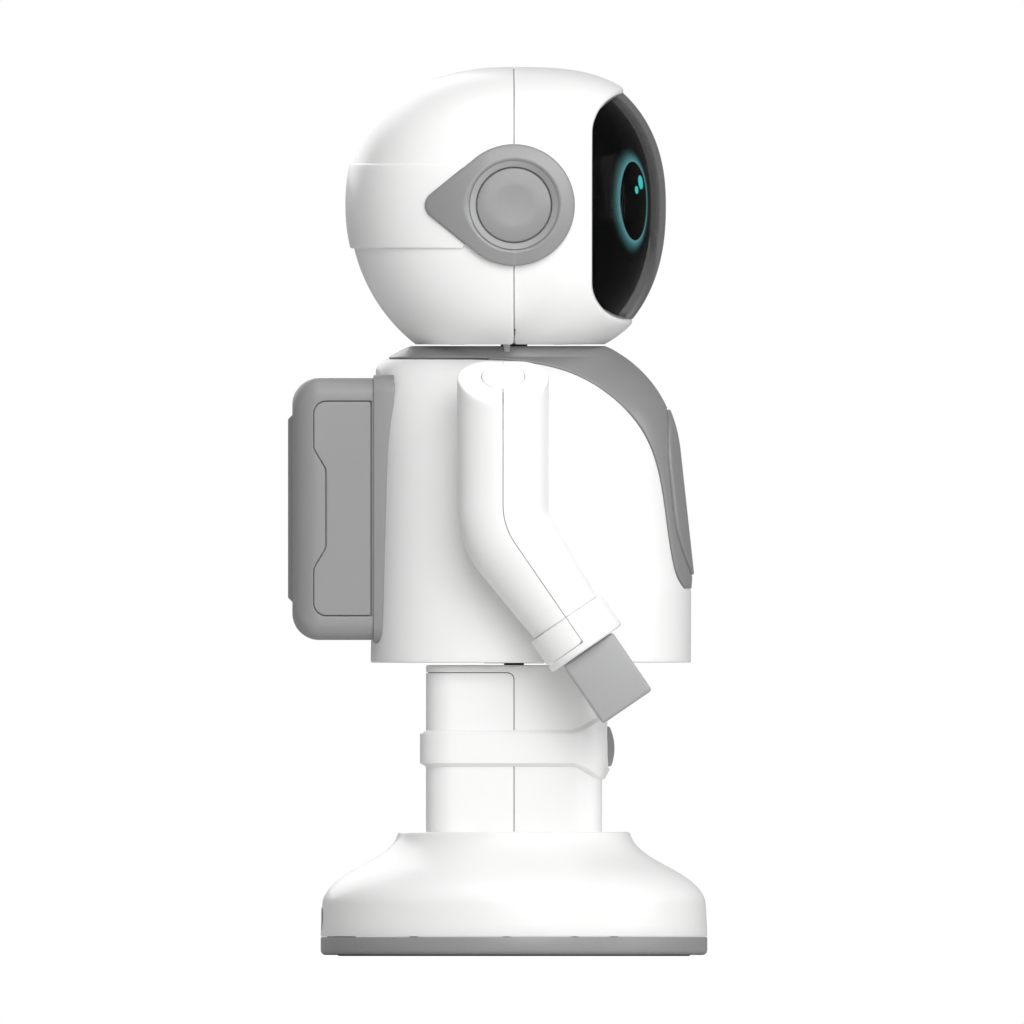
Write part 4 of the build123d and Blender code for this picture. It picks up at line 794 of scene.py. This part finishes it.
def torsoSurface(grow=0.0, extra=None):
    # Plan sections stacked up the height. Above the top the section closes to the collar's ring,
    # and then runs level to the middle. extra adds height over the skin at a point.
    def surface(turn, level):
        z = np.minimum(level, torsoTop)
        more = 0.0 if extra is None else extra(turn, z)
        ahead, behind, side = torsoSizes(z)
        r = planReach(turn, ahead + grow + more, behind + grow + more, side + grow + more)
        close = np.clip((level - torsoTop) / 4.0, 0, 1)
        ring = planReach(turn, *torso["collar"])
        r = r + (ring - r) * close
        inward = np.clip((level - torsoTop - 4.0) / 4.0, 0, 1)
        r = r * (1 - 0.75 * inward)
        up = z + (collarTop - torsoTop) * (1 - (1 - close) ** 1.25)
        return np.stack([r * np.sin(turn), -r * np.cos(turn), up], -1)
    return surface


def heights(top, fine):
    corner = torso["corner"]
    straight = np.linspace(hemZ, torsoTop - corner, 110)
    arc = torsoTop - corner + corner * np.sin(np.linspace(0, pi / 2, 14)[1:])
    rest = np.linspace(torsoTop, top, fine)[1:] if top > torsoTop else np.zeros(0)
    return np.concatenate([straight, arc, rest])


def bibOutline():
    points = [(-ahead, torsoTop - drop) for ahead, drop in bibEdge]
    curve = splineThrough(points, 90)
    low = curve[-1, 1]
    corners = np.array([(-150.0, low), (-150.0, torsoTop + 60), (curve[0, 0], torsoTop + 60)])
    return np.concatenate([curve, corners])


def makeTorso():
    around = np.linspace(0, 2 * pi, 361)[:-1]
    outline = bibOutline()
    inBib = sideOutline(outline)
    shell = trimmed(torsoSurface(), around, heights(torsoTop, 0), [
        (lambda p: -inBib(p) - 0.06, 0.45)], closed=True, edgeLip=0.5)
    centre = np.array([0, 0, 0.5 * (hemZ + torsoTop)])
    piece("body_shell", [closedShell(*shell, torso["wall"], centre)], "torso",
          mats["whiteShell"], ("torso_shell",))

    # black plate of the waist joint, just under the hem
    turn = np.linspace(0, 2 * pi, 73)[:-1]
    plate = [np.stack([r * np.cos(turn), r * np.sin(turn), hemZ + z + 0 * turn], -1)
             for r, z in ((3.0, -0.4), (9.1, -0.4), (9.2, -0.3), (9.2, 0.3), (3.0, 0.3))]
    piece("waist_plate", [sweptRows(plate)], "torso", mats["blackPlastic"], sharp=30)

    plain = torsoSurface(torso["bibRise"])

    def slopeUp(turn, z):
        # the bib's border climbs over its band and then stays level, which leaves a crease
        into = inBib(plain(turn, z))
        fade = np.clip((torsoTop - 2 - z) / 18.0, 0, 1)
        return torso["bibSlope"] * (np.clip(into / torso["bibBand"], 0, 1) - 1) * fade

    half, low = torso["panelHalf"], hemZ + torso["panelLow"]
    high = low + torso["panelHeight"]
    panel = roundedPolygon([(-half, low), (half, low), (half, high), (-half, high)], [half - 3] * 4)
    inPanel = frontOutline(panel)
    awayFromPanel = (lambda p: np.where(p[..., 1] < 0, -inPanel(p), 50.0), 0.2)
    bib = trimmed(torsoSurface(torso["bibRise"], slopeUp), around, heights(torsoTop + 7.6, 22), [
        (lambda p: inBib(p) - 0.02, 0.4), awayFromPanel], closed=True, edgeLip=0.2)
    piece("chest_bib", [closedShell(*bib, 2.0, centre)], "torso", mats["greyShell"],
          ("chest_yoke",))
    panelSkin = torsoSurface(torso["bibRise"] + torso["panelRise"])
    plate = trimmed(panelSkin, np.linspace(-0.75, 0.75, 110), np.linspace(hemZ + 22, hemZ + 80, 130), [
        (lambda p: inPanel(p) - 0.1, 0.6)])
    piece("chest_plate", [closedShell(*plate, 2.2, centre)], "torso", mats["lightGrey"],
          ("chest_panel",))


pack = {
    "half": 27.0, "from": 36.0, "back": 66.5, "corner": 8.0, "edge": 5.0, "wall": 2.0, "lipRise": 1.0,
    "lipReach": 42.2, "panelReach": 60.0, "notch": 3.7, "notchRound": 3.0, "notchHalf": (11.8, 18.0),
    "panelCorner": 3.6, "panelGap": 0.3, "grilleHalf": 17.6, "grilleRise": 11.4, "grilleHeight": 56.1,
}


def packPanelOutline(grow=0.0):
    low, high = packLow + stature["coverLow"] - grow, packHigh - stature["coverTop"] + grow
    near, back = pack["lipReach"] + 0.8 - grow, pack["panelReach"] + grow
    inner, mid = back - pack["notch"], 0.5 * (low + high)
    short, long = pack["notchHalf"]
    corners = [(near, low), (back, low), (back, mid - long), (inner, mid - short), (inner, mid + short),
               (back, mid + long), (back, high), (near, high)]
    ends = [0.3, pack["panelCorner"] + grow]
    return roundedPolygon(corners, ends + [pack["notchRound"]] * 4 + ends[::-1], steps=9)


def makePack():
    midZ, halfZ = 0.5 * (packLow + packHigh), 0.5 * (packHigh - packLow)

    def walk(inset, share):
        # a rounded rectangle in (X, Z), evenly walked so that every ring has the same points
        x, z = pack["half"] - inset, halfZ - inset
        outline = roundedPolygon([(x, z), (-x, z), (-x, -z), (x, -z)], [pack["edge"]] * 4, steps=16)
        loop = np.concatenate([outline, outline[:1]])
        run = np.concatenate([[0], np.cumsum(np.linalg.norm(np.diff(loop, axis=0), axis=1))])
        at = share * run[-1]
        return np.interp(at, run, loop[:, 0]), np.interp(at, run, loop[:, 1])

    insets = np.linspace(0, pack["corner"], 25)
    shares = np.linspace(0, 1, 321)[:-1]
    table = np.array([walk(inset, shares) for inset in insets])          # inset, x or z, share
    bound = pack["back"] - pack["corner"]

    def skin(u, level):
        # level runs along Y to the start of the rounded corner, then round it to the back face
        turn = np.clip((level - bound) / (pack["corner"] * pi / 2), 0, 1) * pi / 2
        y = np.minimum(level, bound) + pack["corner"] * np.sin(turn)
        inset = pack["corner"] * (1 - np.cos(turn))
        row = inset / pack["corner"] * (len(insets) - 1)
        low = np.clip(np.floor(row).astype(int), 0, len(insets) - 2)
        part = row - low
        spot = (u % 1.0) * len(shares)
        left = np.floor(spot).astype(int) % len(shares)
        right = (left + 1) % len(shares)
        between = spot - np.floor(spot)
        both = []
        for k in (0, 1):
            lower = table[low, k, left] * (1 - between) + table[low, k, right] * between
            upper = table[low + 1, k, left] * (1 - between) + table[low + 1, k, right] * between
            both.append(lower * (1 - part) + upper * part)
        return np.stack([both[0], y, midZ + both[1]], -1)

    bend = bound + pack["corner"] * pi / 2 * np.linspace(0, 1, 22)[1:]
    levels = np.concatenate([np.linspace(pack["from"], bound, 70), bend])
    outside = sideOutline(packPanelOutline(pack["panelGap"]), -1)
    onSide = (lambda p: np.where(np.abs(p[..., 0]) > pack["half"] - 1.5, outside(p), 50.0), 0.2)
    body = trimmed(skin, shares, levels, [onSide], closed=True, edgeLip=0.2)
    centre = np.array([0, 50.0, midZ])
    parts = [closedShell(*body, pack["wall"], centre)]

    # back face with the window for the grille
    def backRing(halfX, lowZ, highZ, corner, y):
        corners = [(halfX, highZ), (-halfX, highZ), (-halfX, lowZ), (halfX, lowZ)]
        outline = roundedPolygon(corners, [corner] * 4, 16)
        return np.stack([outline[:, 0], y + 0 * outline[:, 0], outline[:, 1]], -1)

    flat = pack["half"] - pack["corner"]
    flatZ = halfZ - pack["corner"]
    low = packLow + pack["grilleRise"]
    high = low + pack["grilleHeight"]
    rows = [backRing(flat + 0.3, midZ - flatZ - 0.3, midZ + flatZ + 0.3, pack["edge"], pack["back"] - depth)
            for depth in (1.6, 0.01)]
    rows += [backRing(pack["grilleHalf"], low - 0.1, high + 0.1, 1.0, pack["back"] - depth)
             for depth in (0.0, 5.0)]
    points, quads, _ = sweptRows(rows, open=True)
    if np.sum(pointNormals(points, quads)[:, 1]) < 0:
        quads = quads[:, ::-1]
    parts.append((points, quads))

    # lip that meets the torso
    rise, reach = pack["lipRise"], pack["lipReach"]
    rows = [backRing(pack["half"] + out, packLow - out, packHigh + out, pack["edge"] + out * 0.5, y)
            for out, y in ((-2.0, pack["from"]), (rise, pack["from"]), (rise, reach - 0.5),
                           (rise - 0.15, reach - 0.15), (rise - 0.5, reach), (-0.3, reach),
                           (-2.0, reach - 1.0))]
    parts.append(sweptRows(rows, centre, open=True)[:2])
    piece("pack_body", parts, "torso", mats["packGrey"], ("backpack_shell",), sharp=35)

    def sideFace(side, depth):
        return lambda u, v: np.stack([side * (pack["half"] - depth) + 0 * u, u, v], -1)

    for side, name in ((-1, "right"), (1, "left")):
        cover = (sideOutline(packPanelOutline()), 0.25)
        plate = trimmed(sideFace(side, 0.12), np.linspace(41, 62, 70),
                        np.linspace(packLow + 6, packHigh - 6, 200), [cover])
        seat = (sideOutline(packPanelOutline(0.9)), 0.05)
        floor = trimmed(sideFace(side, 1.3), np.linspace(40, 63, 60),
                        np.linspace(packLow + 5, packHigh - 5, 120), [seat])
        piece(f"{name}_pack_seat", [closedShell(*floor, 0.5, centre)], "torso",
              mats["packGrey"])
        piece(f"{name}_pack_cover", [closedShell(*plate, 1.0, centre)], "torso",
              mats["packGrey"], (f"{name}_pack_panel",))


makeTorso()
makePack()
print("torso made")


arm = {
    "radius": 13.8, "wall": 1.8, "behind": 3.3, "top": 11.7, "elbowDrop": 37.8, "angle": 34.5, "bend": 20.0,
    "forearm": 33.2, "wrist": 11.45, "cuff": 12.8, "cuffLength": 11.5, "crown": 5.8, "cuffBevel": 0.8,
    "facet": 57.0, "facetDrop": 12.9, "capRadius": 6.55, "capRise": 7.1, "setback": 2.4,
    "handWide": 18.0, "handThick": 14.6, "handLong": 21.2, "handCorner": 1.0,
}


def armPath(distance):
    # Straight down, an arc about the elbow's centre, then the straight forearm; distance starts at
    # the arm's top. Returns the point and the direction, in (Y, Z).
    angle = radians(arm["angle"])
    reach = arm["bend"] * tan(angle / 2)
    start = shoulderZ + arm["top"]
    straight = arm["top"] + arm["elbowDrop"] - reach
    turn = np.clip((distance - straight) / arm["bend"], 0, angle)
    beyond = np.maximum(0, distance - straight - arm["bend"] * angle)
    y = arm["behind"] - arm["bend"] * (1 - np.cos(turn)) - beyond * np.sin(turn)
    z = start - np.minimum(distance, straight) - arm["bend"] * np.sin(turn) - beyond * np.cos(turn)
    return y, z, turn, straight + arm["bend"] * angle + arm["forearm"] - reach


def makeArms():
    wristAt = armPath(np.array(0.0))[3]
    cuffEnd = wristAt + arm["cuffLength"]
    taperFrom = wristAt - arm["forearm"] + 6.0
    crown, bevel, cuff, wrist = arm["crown"], arm["cuffBevel"], arm["cuff"], arm["wrist"]
    # profile as (distance down the path, radius): flat top, crown arc, tube, taper, cuff, flat end
    crownTurn = np.linspace(0, pi / 2, 16)
    endTurn = np.linspace(0, pi / 2, 6)
    endRadius = 1.0
    tube = arm["radius"]

    def stretch(distances, radii):
        return np.stack([distances, radii], -1)

    profile = [stretch(np.zeros(10), np.linspace(0, tube - crown, 10)),
               stretch(crown * (1 - np.cos(crownTurn[1:])), tube - crown * (1 - np.sin(crownTurn[1:]))),
               stretch(np.linspace(crown, taperFrom, 82)[1:], np.full(81, tube)),
               stretch(np.linspace(taperFrom, wristAt - 0.1, 44)[1:], np.linspace(tube, wrist, 44)[1:]),
               np.array([(wristAt - 0.05, wrist - 0.1), (wristAt, wrist - 0.6), (wristAt + 0.25, wrist - 0.6),
                         (wristAt + 0.3, cuff - 0.3), (wristAt + 0.4, cuff - 0.08), (wristAt + bevel, cuff)]),
               stretch(np.linspace(wristAt + bevel, cuffEnd - endRadius, 14)[1:], np.full(13, cuff)),
               stretch(cuffEnd - endRadius * (1 - np.sin(endTurn[1:])),
                       cuff - endRadius * (1 - np.cos(endTurn[1:]))),
               stretch(np.full(8, cuffEnd), np.linspace(cuff - endRadius, 0, 9)[1:])]
    profile = np.concatenate(profile)
    row = np.arange(len(profile), dtype=float)
    lean = radians(arm["facet"])
    for side, name in ((-1, "right"), (1, "left")):
        x = side * armX
        normal = np.array([side * cos(lean), 0, sin(lean)])
        facetAt = np.array([x + side * arm["radius"], 0, shoulderZ + arm["top"] - arm["facetDrop"]])
        capOut = arm["radius"] - (arm["capRise"] + arm["facetDrop"] - arm["top"]) * tan(lean)
        capAt = np.array([x + side * capOut, arm["behind"], shoulderZ + arm["capRise"]])

        def skin(around, along):
            distance, r = np.interp(along, row, profile[:, 0]), np.interp(along, row, profile[:, 1])
            y, z, turn, _ = armPath(distance)
            px = x + r * np.sin(around)
            py = y - r * np.cos(around) * np.cos(turn)
            pz = z + r * np.cos(around) * np.sin(turn)
            p = np.stack([px, py, pz], -1)
            # the slanted facet: what stands above its plane comes down to it, with a soft crease
            over = (p - facetAt) @ normal
            soft = 0.35
            press = soft * np.logaddexp(0, over / soft)
            return p - np.clip(press, 0, None)[..., None] * normal * (over > -4)[..., None]

        def offCap(p):
            flat = p - capAt
            rise = flat @ normal
            away = np.linalg.norm(flat - rise[..., None] * normal, axis=-1)
            return np.where(np.abs(rise) < 3, away - arm["capRadius"] - 0.05, 30.0)

        lidOutline = behindSeam(cuffEnd)
        cap = (offCap, 0.18)
        hubHole = (lambda p: np.where((p[..., 0] - x) * side < -6, np.hypot(p[..., 1] - arm["behind"],
                   p[..., 2] - shoulderZ) - 9.3, 30.0), 0.3)
        around = np.linspace(0, 2 * pi, 151)[:-1]
        centre = np.array([x, arm["behind"], shoulderZ - 30.0])
        for part, sign, node in (("arm_shell", -1, "arm_front"), ("arm_lid", 1, "arm_back")):
            seam = (lambda p, sign=sign: sign * insideDistance(lidOutline, p[..., 1], p[..., 2]) - 0.12, 0.1)
            patch = trimmed(skin, around, row, [seam, cap, hubHole], closed=True, edgeLip=0.1)
            piece(f"{name}_{part}", [closedShell(*patch, arm["wall"], centre)], f"{name}_arm",
                  mats["whiteShell"], (f"{name}_{node}",))

        # round cap let into the facet
        turn = np.linspace(0, 2 * pi, 73)[:-1]
        down = np.array([side * sin(lean), 0, -cos(lean)])
        ringAt = lambda r, rise: (capAt + rise * normal + r * np.cos(turn)[:, None] * np.array([0, 1.0, 0])
                                  + r * np.sin(turn)[:, None] * down)
        r = arm["capRadius"] - 0.12
        rows = [ringAt(size, rise) for size, rise in ((0.6, 0.12), (r - 1.0, 0.12), (r - 0.25, 0.1),
                                                      (r - 0.06, 0.02), (r, -0.12), (r, -1.6))]
        piece(f"{name}_shoulder_cap", [sweptRows(rows)], f"{name}_arm", mats["whiteShell"])

        # hand: a rounded bar straight out of the cuff
        y, z, turnEnd, _ = armPath(np.array(cuffEnd))
        along = np.array([0, -sin(turnEnd), -cos(turnEnd)])
        across = np.array([0, -cos(turnEnd), sin(turnEnd)])
        corner = arm["handCorner"]
        rows = []
        turns = np.linspace(0, pi / 2, 6)
        steps = [(corner * (1 - cos(a)), corner * (1 - sin(a))) for a in turns]
        steps += [(arm["handLong"] - corner * (1 - cos(a)), corner * (1 - sin(a))) for a in turns[::-1]]
        for distance, inset in steps:
            w, t = arm["handWide"] / 2 - inset, arm["handThick"] / 2 - inset
            outline = roundedPolygon([(t, w), (-t, w), (-t, -w), (t, -w)], [corner] * 4, 8)
            rows.append(np.array([x, y, z]) + outline[:, :1] * np.array([1.0, 0, 0]) + outline[:, 1:] * across
                        + along * (distance + 0.06))
        piece(f"{name}_grip", [sweptRows(rows)], f"{name}_arm", mats["handGrey"],
              (f"{name}_hand",))


def behindSeam(cuffEnd):
    # The lid's outline in the side view: down the tube's middle line, round the elbow, and across
    # before the cuff's end
    distances = np.linspace(0, cuffEnd - arm["setback"], 60)
    y, z, turn, _ = armPath(distances)
    far = 60.0
    top = (y[0], z[0] + 30)
    back = (y[-1] + far * cos(turn[-1]), z[-1] - far * sin(turn[-1]))
    outline = [top] + list(zip(y, z)) + [back, (back[0] + far, back[1]), (back[0] + far, top[1])]
    return np.array(outline)


makeArms()
print("arms made")


legs = {
    "halfWide": 39.0, "halfDeep": 26.4, "corner": 8.0, "wall": 2.0, "slot": 7.0, "slotHigh": 34.0,
    "backTop": 2.3, "seamCorner": 2.0, "topEdge": 0.7,
    "beltHalf": 4.35, "beltRise": 1.8, "beltBevel": 1.1, "padHalf": 9.2, "padFrom": 17.0, "padFull": 26.6,
    "padFront": 30.0, "insertHalf": 10.6, "insertHigh": 12.6,
}


def legRing(frontDeep, backDeep, halfWide, corner, turn):
    # A rounded rectangle in plan as a function of direction: a super-ellipse would bulge, so the
    # outline is walked by share of its length and found again for each turn
    outline = roundedPolygon([(halfWide, -frontDeep), (halfWide, backDeep), (-halfWide, backDeep),
                              (-halfWide, -frontDeep)], [corner] * 4, 18)
    loop = np.concatenate([outline, outline[:1]])
    run = np.concatenate([[0], np.cumsum(np.linalg.norm(np.diff(loop, axis=0), axis=1))])
    at = (turn % 1.0) * run[-1]
    return np.interp(at, run, loop[:, 0]), np.interp(at, run, loop[:, 1])


def crotchDistance(p, margin=0.0):
    # how far a point is outside the slot between the legs
    half = legs["slot"] / 2 + margin
    archZ = bellTop + legs["slotHigh"] - legs["slot"] / 2
    above = np.hypot(p[..., 0], np.maximum(p[..., 2] - archZ, 0))
    return np.where(p[..., 2] > archZ, above - half, np.abs(p[..., 0]) - half)


def makeLegs():
    around = np.linspace(0, 1, 361)[:-1]
    edge = legs["topEdge"]
    # level: up the wall, round the top edge, in to the middle
    wallTop = hipTop - edge
    arc = edge * pi / 2
    levels = np.concatenate([np.linspace(bellTop, wallTop, 80), wallTop + arc * np.linspace(0, 1, 6)[1:],
                             wallTop + arc + np.linspace(0, 1, 14)[1:]])

    def skin(u, level):
        x, y = legRing(legs["halfDeep"], legs["halfDeep"], legs["halfWide"], legs["corner"], u)
        turn = np.clip((level - wallTop) / arc, 0, 1) * pi / 2
        inset = edge * (1 - np.cos(turn))
        z = np.minimum(level, wallTop) + edge * np.sin(turn)
        close = np.clip(level - wallTop - arc, 0, 1)
        shrink = 1 - inset / 30.0
        shrink = shrink * (1 - 0.8 * close)
        return np.stack([x * shrink, y * shrink, z], -1)

    far = 80.0
    top = hipTop - legs["backTop"]
    backOutline = roundedPolygon([(0.0, bellTop - far), (0.0, top), (far, top), (far, bellTop - far)],
                                 (0, legs["seamCorner"], 0, 0))
    slot = (crotchDistance, 0.5)
    centre = np.array([0, 0, 0.5 * (bellTop + hipTop)])
    seam = sideOutline(backOutline)
    front = trimmed(skin, around, levels, [(lambda p: -seam(p) - 0.12, 0.1), slot], closed=True, edgeLip=0.1)
    rear = trimmed(skin, around, levels, [(lambda p: seam(p) - 0.12, 0.1), slot], closed=True, edgeLip=0.1)

    # a dark strip just inside the skin along the legs' seam: painted shade standing in for the shadow inside
    # the seam's gap
    def innerSkin(u, level):
        lower = np.array([0, 0, 0.5]) * (level > wallTop)[..., None]
        return skin(u, level) * np.array([0.984, 0.978, 1.0]) - lower

    seamShadeStrip = trimmed(innerSkin, around, np.linspace(bellTop + 0.2, wallTop - 0.3, 90), [
        (lambda p: 0.9 - np.abs(seam(p)), 0.05), slot], closed=True, edgeLip=0.05)
    piece("leg_seam_shade", [closedShell(*seamShadeStrip, 0.8, centre)], "base", mats["seamShadeGrey"])

    # walls of the slot, an arch carried from front to back
    half = legs["slot"] / 2 + 0.45
    archZ = bellTop + legs["slotHigh"] - legs["slot"] / 2
    turns = np.linspace(0, pi, 24)
    side = np.linspace(bellTop, archZ, 12)[:-1]
    arch = np.concatenate([np.stack([np.full(11, half), side], -1),
                           np.stack([half * np.cos(turns), archZ + half * np.sin(turns)], -1),
                           np.stack([np.full(11, -half), side[::-1]], -1)])
    loop = np.concatenate([arch, (arch + np.array([0, 1.2]) + np.sign(arch) * np.array([1.2, 0]))[::-1]])
    deep = legs["halfDeep"] - 0.4
    for name, patch, low, high, node in (("thigh_front", front, -deep, -0.1, "leg_front_shell"),
                                         ("thigh_back", rear, 0.1, deep, "leg_back_shell")):
        rows = [np.stack([loop[:, 0], y + 0 * loop[:, 0], loop[:, 1]], -1) for y in (low, high)]
        tunnel = sweptRows(rows, open=True)
        inward = pointNormals(*tunnel[:2])[:len(arch)]
        if np.sum(inward[:, 0] * arch[:, 0]) > 0:
            tunnel = (tunnel[0], tunnel[1][:, ::-1])
        piece(name, [closedShell(*patch, legs["wall"], centre), tunnel[:2]], "base",
              mats["whiteShell"], (node,))

    # knee belt, widening to a pad over each knee
    def beltHalf(ahead):
        grow = np.clip((ahead - legs["padFrom"]) / (legs["padFull"] - legs["padFrom"]), 0, 1)
        return legs["beltHalf"] + (legs["padHalf"] - legs["beltHalf"]) * grow ** 1.7

    kneeX = (legs["halfWide"] + legs["slot"] / 2) / 2

    def beltSkin(rise):
        # the belt's flat front bows out over each knee as 1 - (across / 11)^2 by 1 - (up / 10)^2,
        # and draws back by the square of the height above or below the knee
        def surface(u, z):
            off = np.clip(np.abs(z - kneeZ) / (legs["padHalf"] + 1.0), 0, 1.15) ** 2
            proud = legs["beltRise"]
            x, y = legRing(legs["halfDeep"] + proud, legs["halfDeep"] + proud, legs["halfWide"] + proud,
                           legs["corner"] + proud, u)
            front = np.clip(-y / (legs["halfDeep"] + proud), 0, 1) ** 6
            bow = np.clip(1 - ((np.abs(x) - kneeX) / 11.0) ** 2, 0, 1)
            out = (legs["padFront"] - legs["halfDeep"] - proud) * bow * (1 - off) - 1.7 * off + rise
            return np.stack([x, y - front * out, z], -1)
        return surface

    halfX, halfZ = legs["insertHalf"], legs["insertHigh"] / 2
    midZ = kneeZ + 0.6
    insert = roundedPolygon([(kneeX - halfX, midZ - halfZ), (kneeX + halfX, midZ - halfZ),
                             (kneeX + halfX, midZ + halfZ), (kneeX - halfX, midZ + halfZ)], [5.0] * 4)
    inInsert = lambda p: np.where(p[..., 1] < 0, insideDistance(insert, np.abs(p[..., 0]), p[..., 2]), -50.0)
    belt = trimmed(beltSkin(0.0), around, np.linspace(kneeZ - 11.5, kneeZ + 11.5, 56), [
        (lambda p: beltHalf(-p[..., 1]) + legs["beltBevel"] - np.abs(p[..., 2] - kneeZ), legs["beltBevel"]),
        (lambda p: -inInsert(p) - 0.2, 0.3), (crotchDistance, 0.5)], closed=True)
    piece("knee_belt", [closedShell(*belt, 2.2, centre, slope=legs["beltRise"])], "base",
          mats["whiteShell"], sharp=30)
    for side, name in ((-1, "right"), (1, "left")):
        u = np.linspace(0.5, 1.0, 150)
        patch = trimmed(beltSkin(0.15), u, np.linspace(kneeZ - 9, kneeZ + 10, 60), [
            (lambda p: np.where(p[..., 0] * side > 0, inInsert(p), -50.0), 0.8)])
        piece(f"{name}_knee_cap", [closedShell(*patch, 1.6, centre)], "base", mats["greyShell"],
              (f"{name}_knee_insert",))


base = {
    "radius": 58.0, "straight": 13.0, "neck": 34.8, "rim": 10.0, "topRound": 0.8, "trayTop": 5.7,
    "trayLow": 0.3, "fillet": 1.5, "padRadius": 52.9, "gap": 0.12,
}


def ovalRing(radius, z):
    # Two half circles joined by straight runs
    turn = np.linspace(-pi / 2, pi / 2, 91)
    x = np.concatenate([base["straight"] + radius * np.cos(turn), -base["straight"] - radius * np.cos(turn)])
    y = np.concatenate([radius * np.sin(turn), -radius * np.sin(turn)])
    return np.stack([x, y, z + 0 * x], -1)


def makeBase():
    rim, neck, tray = base["radius"], base["neck"], base["trayTop"]
    curve = splineThrough([(rim - 0.5, tray + base["rim"]), (rim - 5.2, tray + 17.0),
                           (neck + 5.8, bellTop - 7.2), (neck, bellTop)], 46, (-0.06, 1), (-0.12, 1))
    top, low = base["topRound"], tray + base["gap"]
    profile = [(rim - 3.0, low), (rim - 0.4, low), (rim - 0.12, low + 0.08), (rim, low + 0.35),
               (rim - 0.12, tray + 3.5), (rim - 0.3, tray + 7.0)]
    profile += [tuple(point) for point in curve if point[1] < bellTop - top]
    profile += [(neck + 0.1 - top * (1 - cos(a)), bellTop - top * (1 - sin(a)))
                for a in np.linspace(0.2, pi / 2, 5)]
    profile += [(neck - 6.0, bellTop), (8.0, bellTop)]
    rows = [ovalRing(r, z) for r, z in profile]
    piece("bell", [sweptRows(rows)], "base", mats["whiteShell"], ("base_bell",), sharp=40)

    fillet, low = base["fillet"], base["trayLow"]
    profile = [(40.0, low), (rim - fillet, low)]
    profile += [(rim - fillet * (1 - sin(a)), low + fillet * (1 - cos(a)))
                for a in np.linspace(0, pi / 2, 7)[1:]]
    profile += [(rim, tray - 0.35), (rim - 0.1, tray - 0.1), (rim - 0.35, tray), (rim - 3.0, tray)]
    rows = [ovalRing(r, z) for r, z in profile]
    piece("foot_tray", [sweptRows(rows)], "base", mats["packGrey"], ("base_tray",))

    pad = base["padRadius"]
    rows = [ovalRing(r, z) for r, z in ((30.0, 0.0), (pad - 0.4, 0.0), (pad, 0.25), (pad, 1.0))]
    piece("foot_pad", [sweptRows(rows)], "base", mats["rubber"], ("rubber_pad",))


makeLegs()
makeBase()
print("legs and base made")


stage = {
    "floor": 6.0, "worldSeen": 1.0, "worldLight": 0.31, "aim": (0, 0, 0.13),
    "camera": (-0.8, 0.0006, 0.1332), "cameraSpan": 0.3072,
    "lights": (
        # name, place, size, power
        ("keySide", (-0.85, -0.16, 0.5), 0.6, 6.4),
        ("frontFill", (-0.35, -1.5, 0.5), 0.8, 5.5),
        ("top", (-0.25, 0.0, 1.35), 0.9, 4.5),
        ("farFill", (1.2, 0.5, 0.7), 0.9, 5.0),
    ),
}


def makeStage():
    half = stage["floor"] / 2
    mesh = bpy.data.meshes.new("floor")
    corners = [(-half, -half, 0), (half, -half, 0), (half, half, 0), (-half, half, 0)]
    mesh.from_pydata(corners, [], [(0, 1, 2, 3)])
    floor = bpy.data.objects.new("floor", mesh)
    bpy.context.scene.collection.objects.link(floor)
    mesh.materials.append(moulded("paperFloor", (0.6, 0.6, 0.6), 0.8, grain=60.0, bump=0.00001, tint=0.01))

    world = bpy.data.worlds.new("studio")
    bpy.context.scene.world = world
    world.use_nodes = True
    tree = world.node_tree
    background = tree.nodes["Background"]
    background.inputs["Color"].default_value = (1, 1, 1, 1)
    path = tree.nodes.new("ShaderNodeLightPath")
    seen = tree.nodes.new("ShaderNodeMath")
    seen.operation = "MULTIPLY_ADD"
    seen.inputs[1].default_value = stage["worldSeen"] - stage["worldLight"]
    seen.inputs[2].default_value = stage["worldLight"]
    tree.links.new(path.outputs["Is Camera Ray"], seen.inputs[0])
    tree.links.new(seen.outputs[0], background.inputs["Strength"])

    for name, place, size, power in stage["lights"]:
        lamp = bpy.data.lights.new(name, "AREA")
        lamp.shape = "SQUARE"
        lamp.size = size
        lamp.energy = power
        thing = bpy.data.objects.new(name, lamp)
        bpy.context.scene.collection.objects.link(thing)
        thing.location = place
        towards = np.array(stage["aim"]) - np.array(place)
        thing.rotation_euler = (np.arccos(-towards[2] / np.linalg.norm(towards)), 0,
                                atan2(towards[1], towards[0]) - pi / 2)

    cameraData = bpy.data.cameras.new("camera")
    cameraData.type = "ORTHO"
    cameraData.ortho_scale = stage["cameraSpan"]
    cameraData.clip_end = 10
    camera = bpy.data.objects.new("camera", cameraData)
    bpy.context.scene.collection.objects.link(camera)
    camera.location = stage["camera"]
    camera.rotation_euler = (radians(90), 0, radians(-90))
    bpy.context.scene.camera = camera
    bpy.context.scene.view_settings.view_transform = "Standard"


makeStage()
print("stage made")
